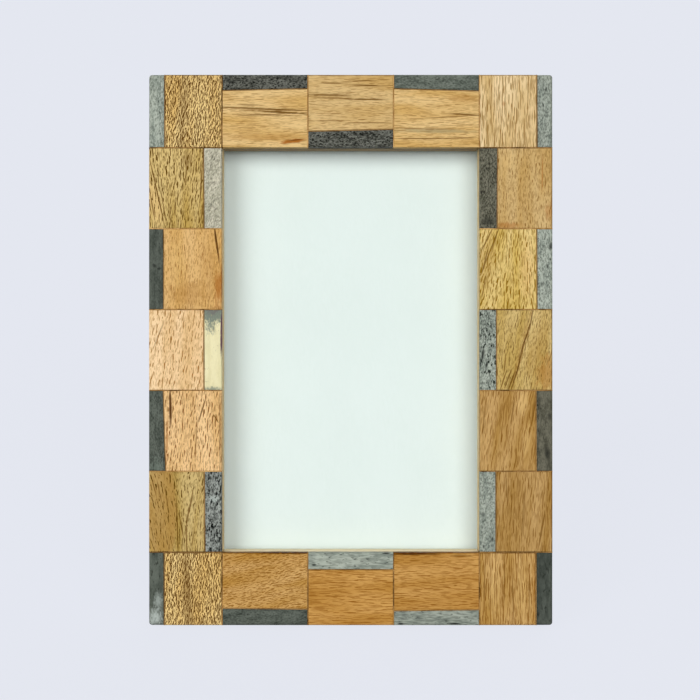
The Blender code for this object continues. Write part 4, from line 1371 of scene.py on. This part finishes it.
@dataclass
class Studio:
    """A pale floor, soft light and the photograph's camera."""

    plane: FacePlane
    backdrop: str = "#e5e8f1"
    floor_paper: str = "#9a9ca2"  # what the lamps find, darker so that little light comes from below
    floor_size: float = 60.0
    floor_glow: float = 0.85  # share of the floor's look that doesn't depend on the lamps
    floor_lift: float = 1.11  # makes up for the darker paper below
    fill: float = 0.12  # of white light from all round
    lamps: tuple[SoftLamp, ...] = (
        SoftLamp("soft_key_left", 1.87, 37.0, -34.5, 12.0),
        SoftLamp("soft_key_right", 1.51, 35.5, 21.0, 12.0),
        SoftLamp("soft_back", 1.3, 80.0, 160.0, 40.0),
    )
    distance: float = 0.48  # from the camera to the frame's face
    near: float = 0.01  # where the camera's view begins
    view_width: float = 241.8 * MM  # across the picture, at the frame's face
    aim_right: float = -0.26 * MM  # of the face's middle, as the photograph is framed

    def build(self, frame: dict) -> None:
        """Make the floor, the light and the camera.

        Args:
            frame: The loaded frame.
        """
        self.lay_floor()
        self.light()
        self.set_camera(frame)

    def looking(self, r: Recipe) -> Socket:
        """Tell the rays that see the room, also in metal and through glass, from those that light it.

        Args:
            r: The material or world to add to.

        Returns:
            1 for a ray that sees, and 0 for one that lights.
        """
        path = r.add("LightPath").node.outputs
        either = r.add("Math", {0: path["Is Camera Ray"], 1: path["Is Glossy Ray"]}, operation="MAXIMUM")
        return r.add("Math", {0: either, 1: path["Is Transmission Ray"]}, operation="MAXIMUM")

    def lay_floor(self) -> None:
        """Lay a wide floor that shows the backdrop's colour and takes the frame's shadow."""
        bpy.ops.object.select_all(action="DESELECT")
        bpy.ops.mesh.primitive_plane_add(size=self.floor_size)
        floor = bpy.context.object
        floor.name = "studio_floor"
        r = Recipe(bpy.data.materials.new("studio_paper"))
        share = r.add("Math", {0: self.looking(r), 1: self.floor_glow}, operation="MULTIPLY")
        paper = r.add("BsdfDiffuse", {"Color": linear(self.floor_paper)})
        glow = r.add("Emission", {"Color": linear(self.backdrop), "Strength": self.floor_lift})
        coat(floor, r.finish(r.add("MixShader", {0: share, 1: paper, 2: glow})))
        log.info("studio_floor")

    def light(self) -> None:
        """Light the room evenly and hang the lamps."""
        r = Recipe(bpy.data.worlds.new("studio"))
        room = r.add("Background", {"Color": linear("#ffffff"), "Strength": self.fill})
        wall = r.add("Background", {"Color": linear(self.backdrop), "Strength": 1.0})
        shader = r.add("MixShader", {0: self.looking(r), 1: room, 2: wall})
        bpy.context.scene.world = r.finish(shader, "OutputWorld")
        for lamp in self.lamps:
            lamp.hang(self.plane)

    def set_camera(self, frame: dict) -> None:
        """Look square at the middle of the leaning face, from the photograph's distance.

        Args:
            frame: The loaded frame.
        """
        low, high = self.plane.box(*(node for node in frame["nodes"].values() if "tile" in node.name))
        middle = ((low.x + high.x) / 2 + self.aim_right, low.y - self.distance, (low.z + high.z) / 2)
        view = bpy.data.cameras.new("photograph")
        view.sensor_fit = "HORIZONTAL"
        view.angle = 2 * math.atan(self.view_width / 2 / self.distance)
        view.clip_start = self.near
        camera = bpy.data.objects.new("photograph", view)
        camera.matrix_world = self.plane.matrix(middle) @ Matrix.Rotation(math.pi / 2, 4, "X")
        bpy.context.scene.collection.objects.link(camera)
        bpy.context.scene.camera = camera


def main() -> None:
    """Load the part, dress it piece by piece and set up the studio."""
    logging.basicConfig(level=logging.INFO, format="%(name)s: %(message)s")
    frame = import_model()
    plane = FacePlane.of(frame)
    bpy.context.scene.view_settings.view_transform = "Standard"
    for assembly in (Mosaic, BaseFrame, Layers, TurnButtons, EaselStand, Hanger):
        log.info("building %s", assembly.__name__)
        assembly(frame, plane).build()
    Studio(plane).build(frame)


if __name__ == "__main__":
    main()
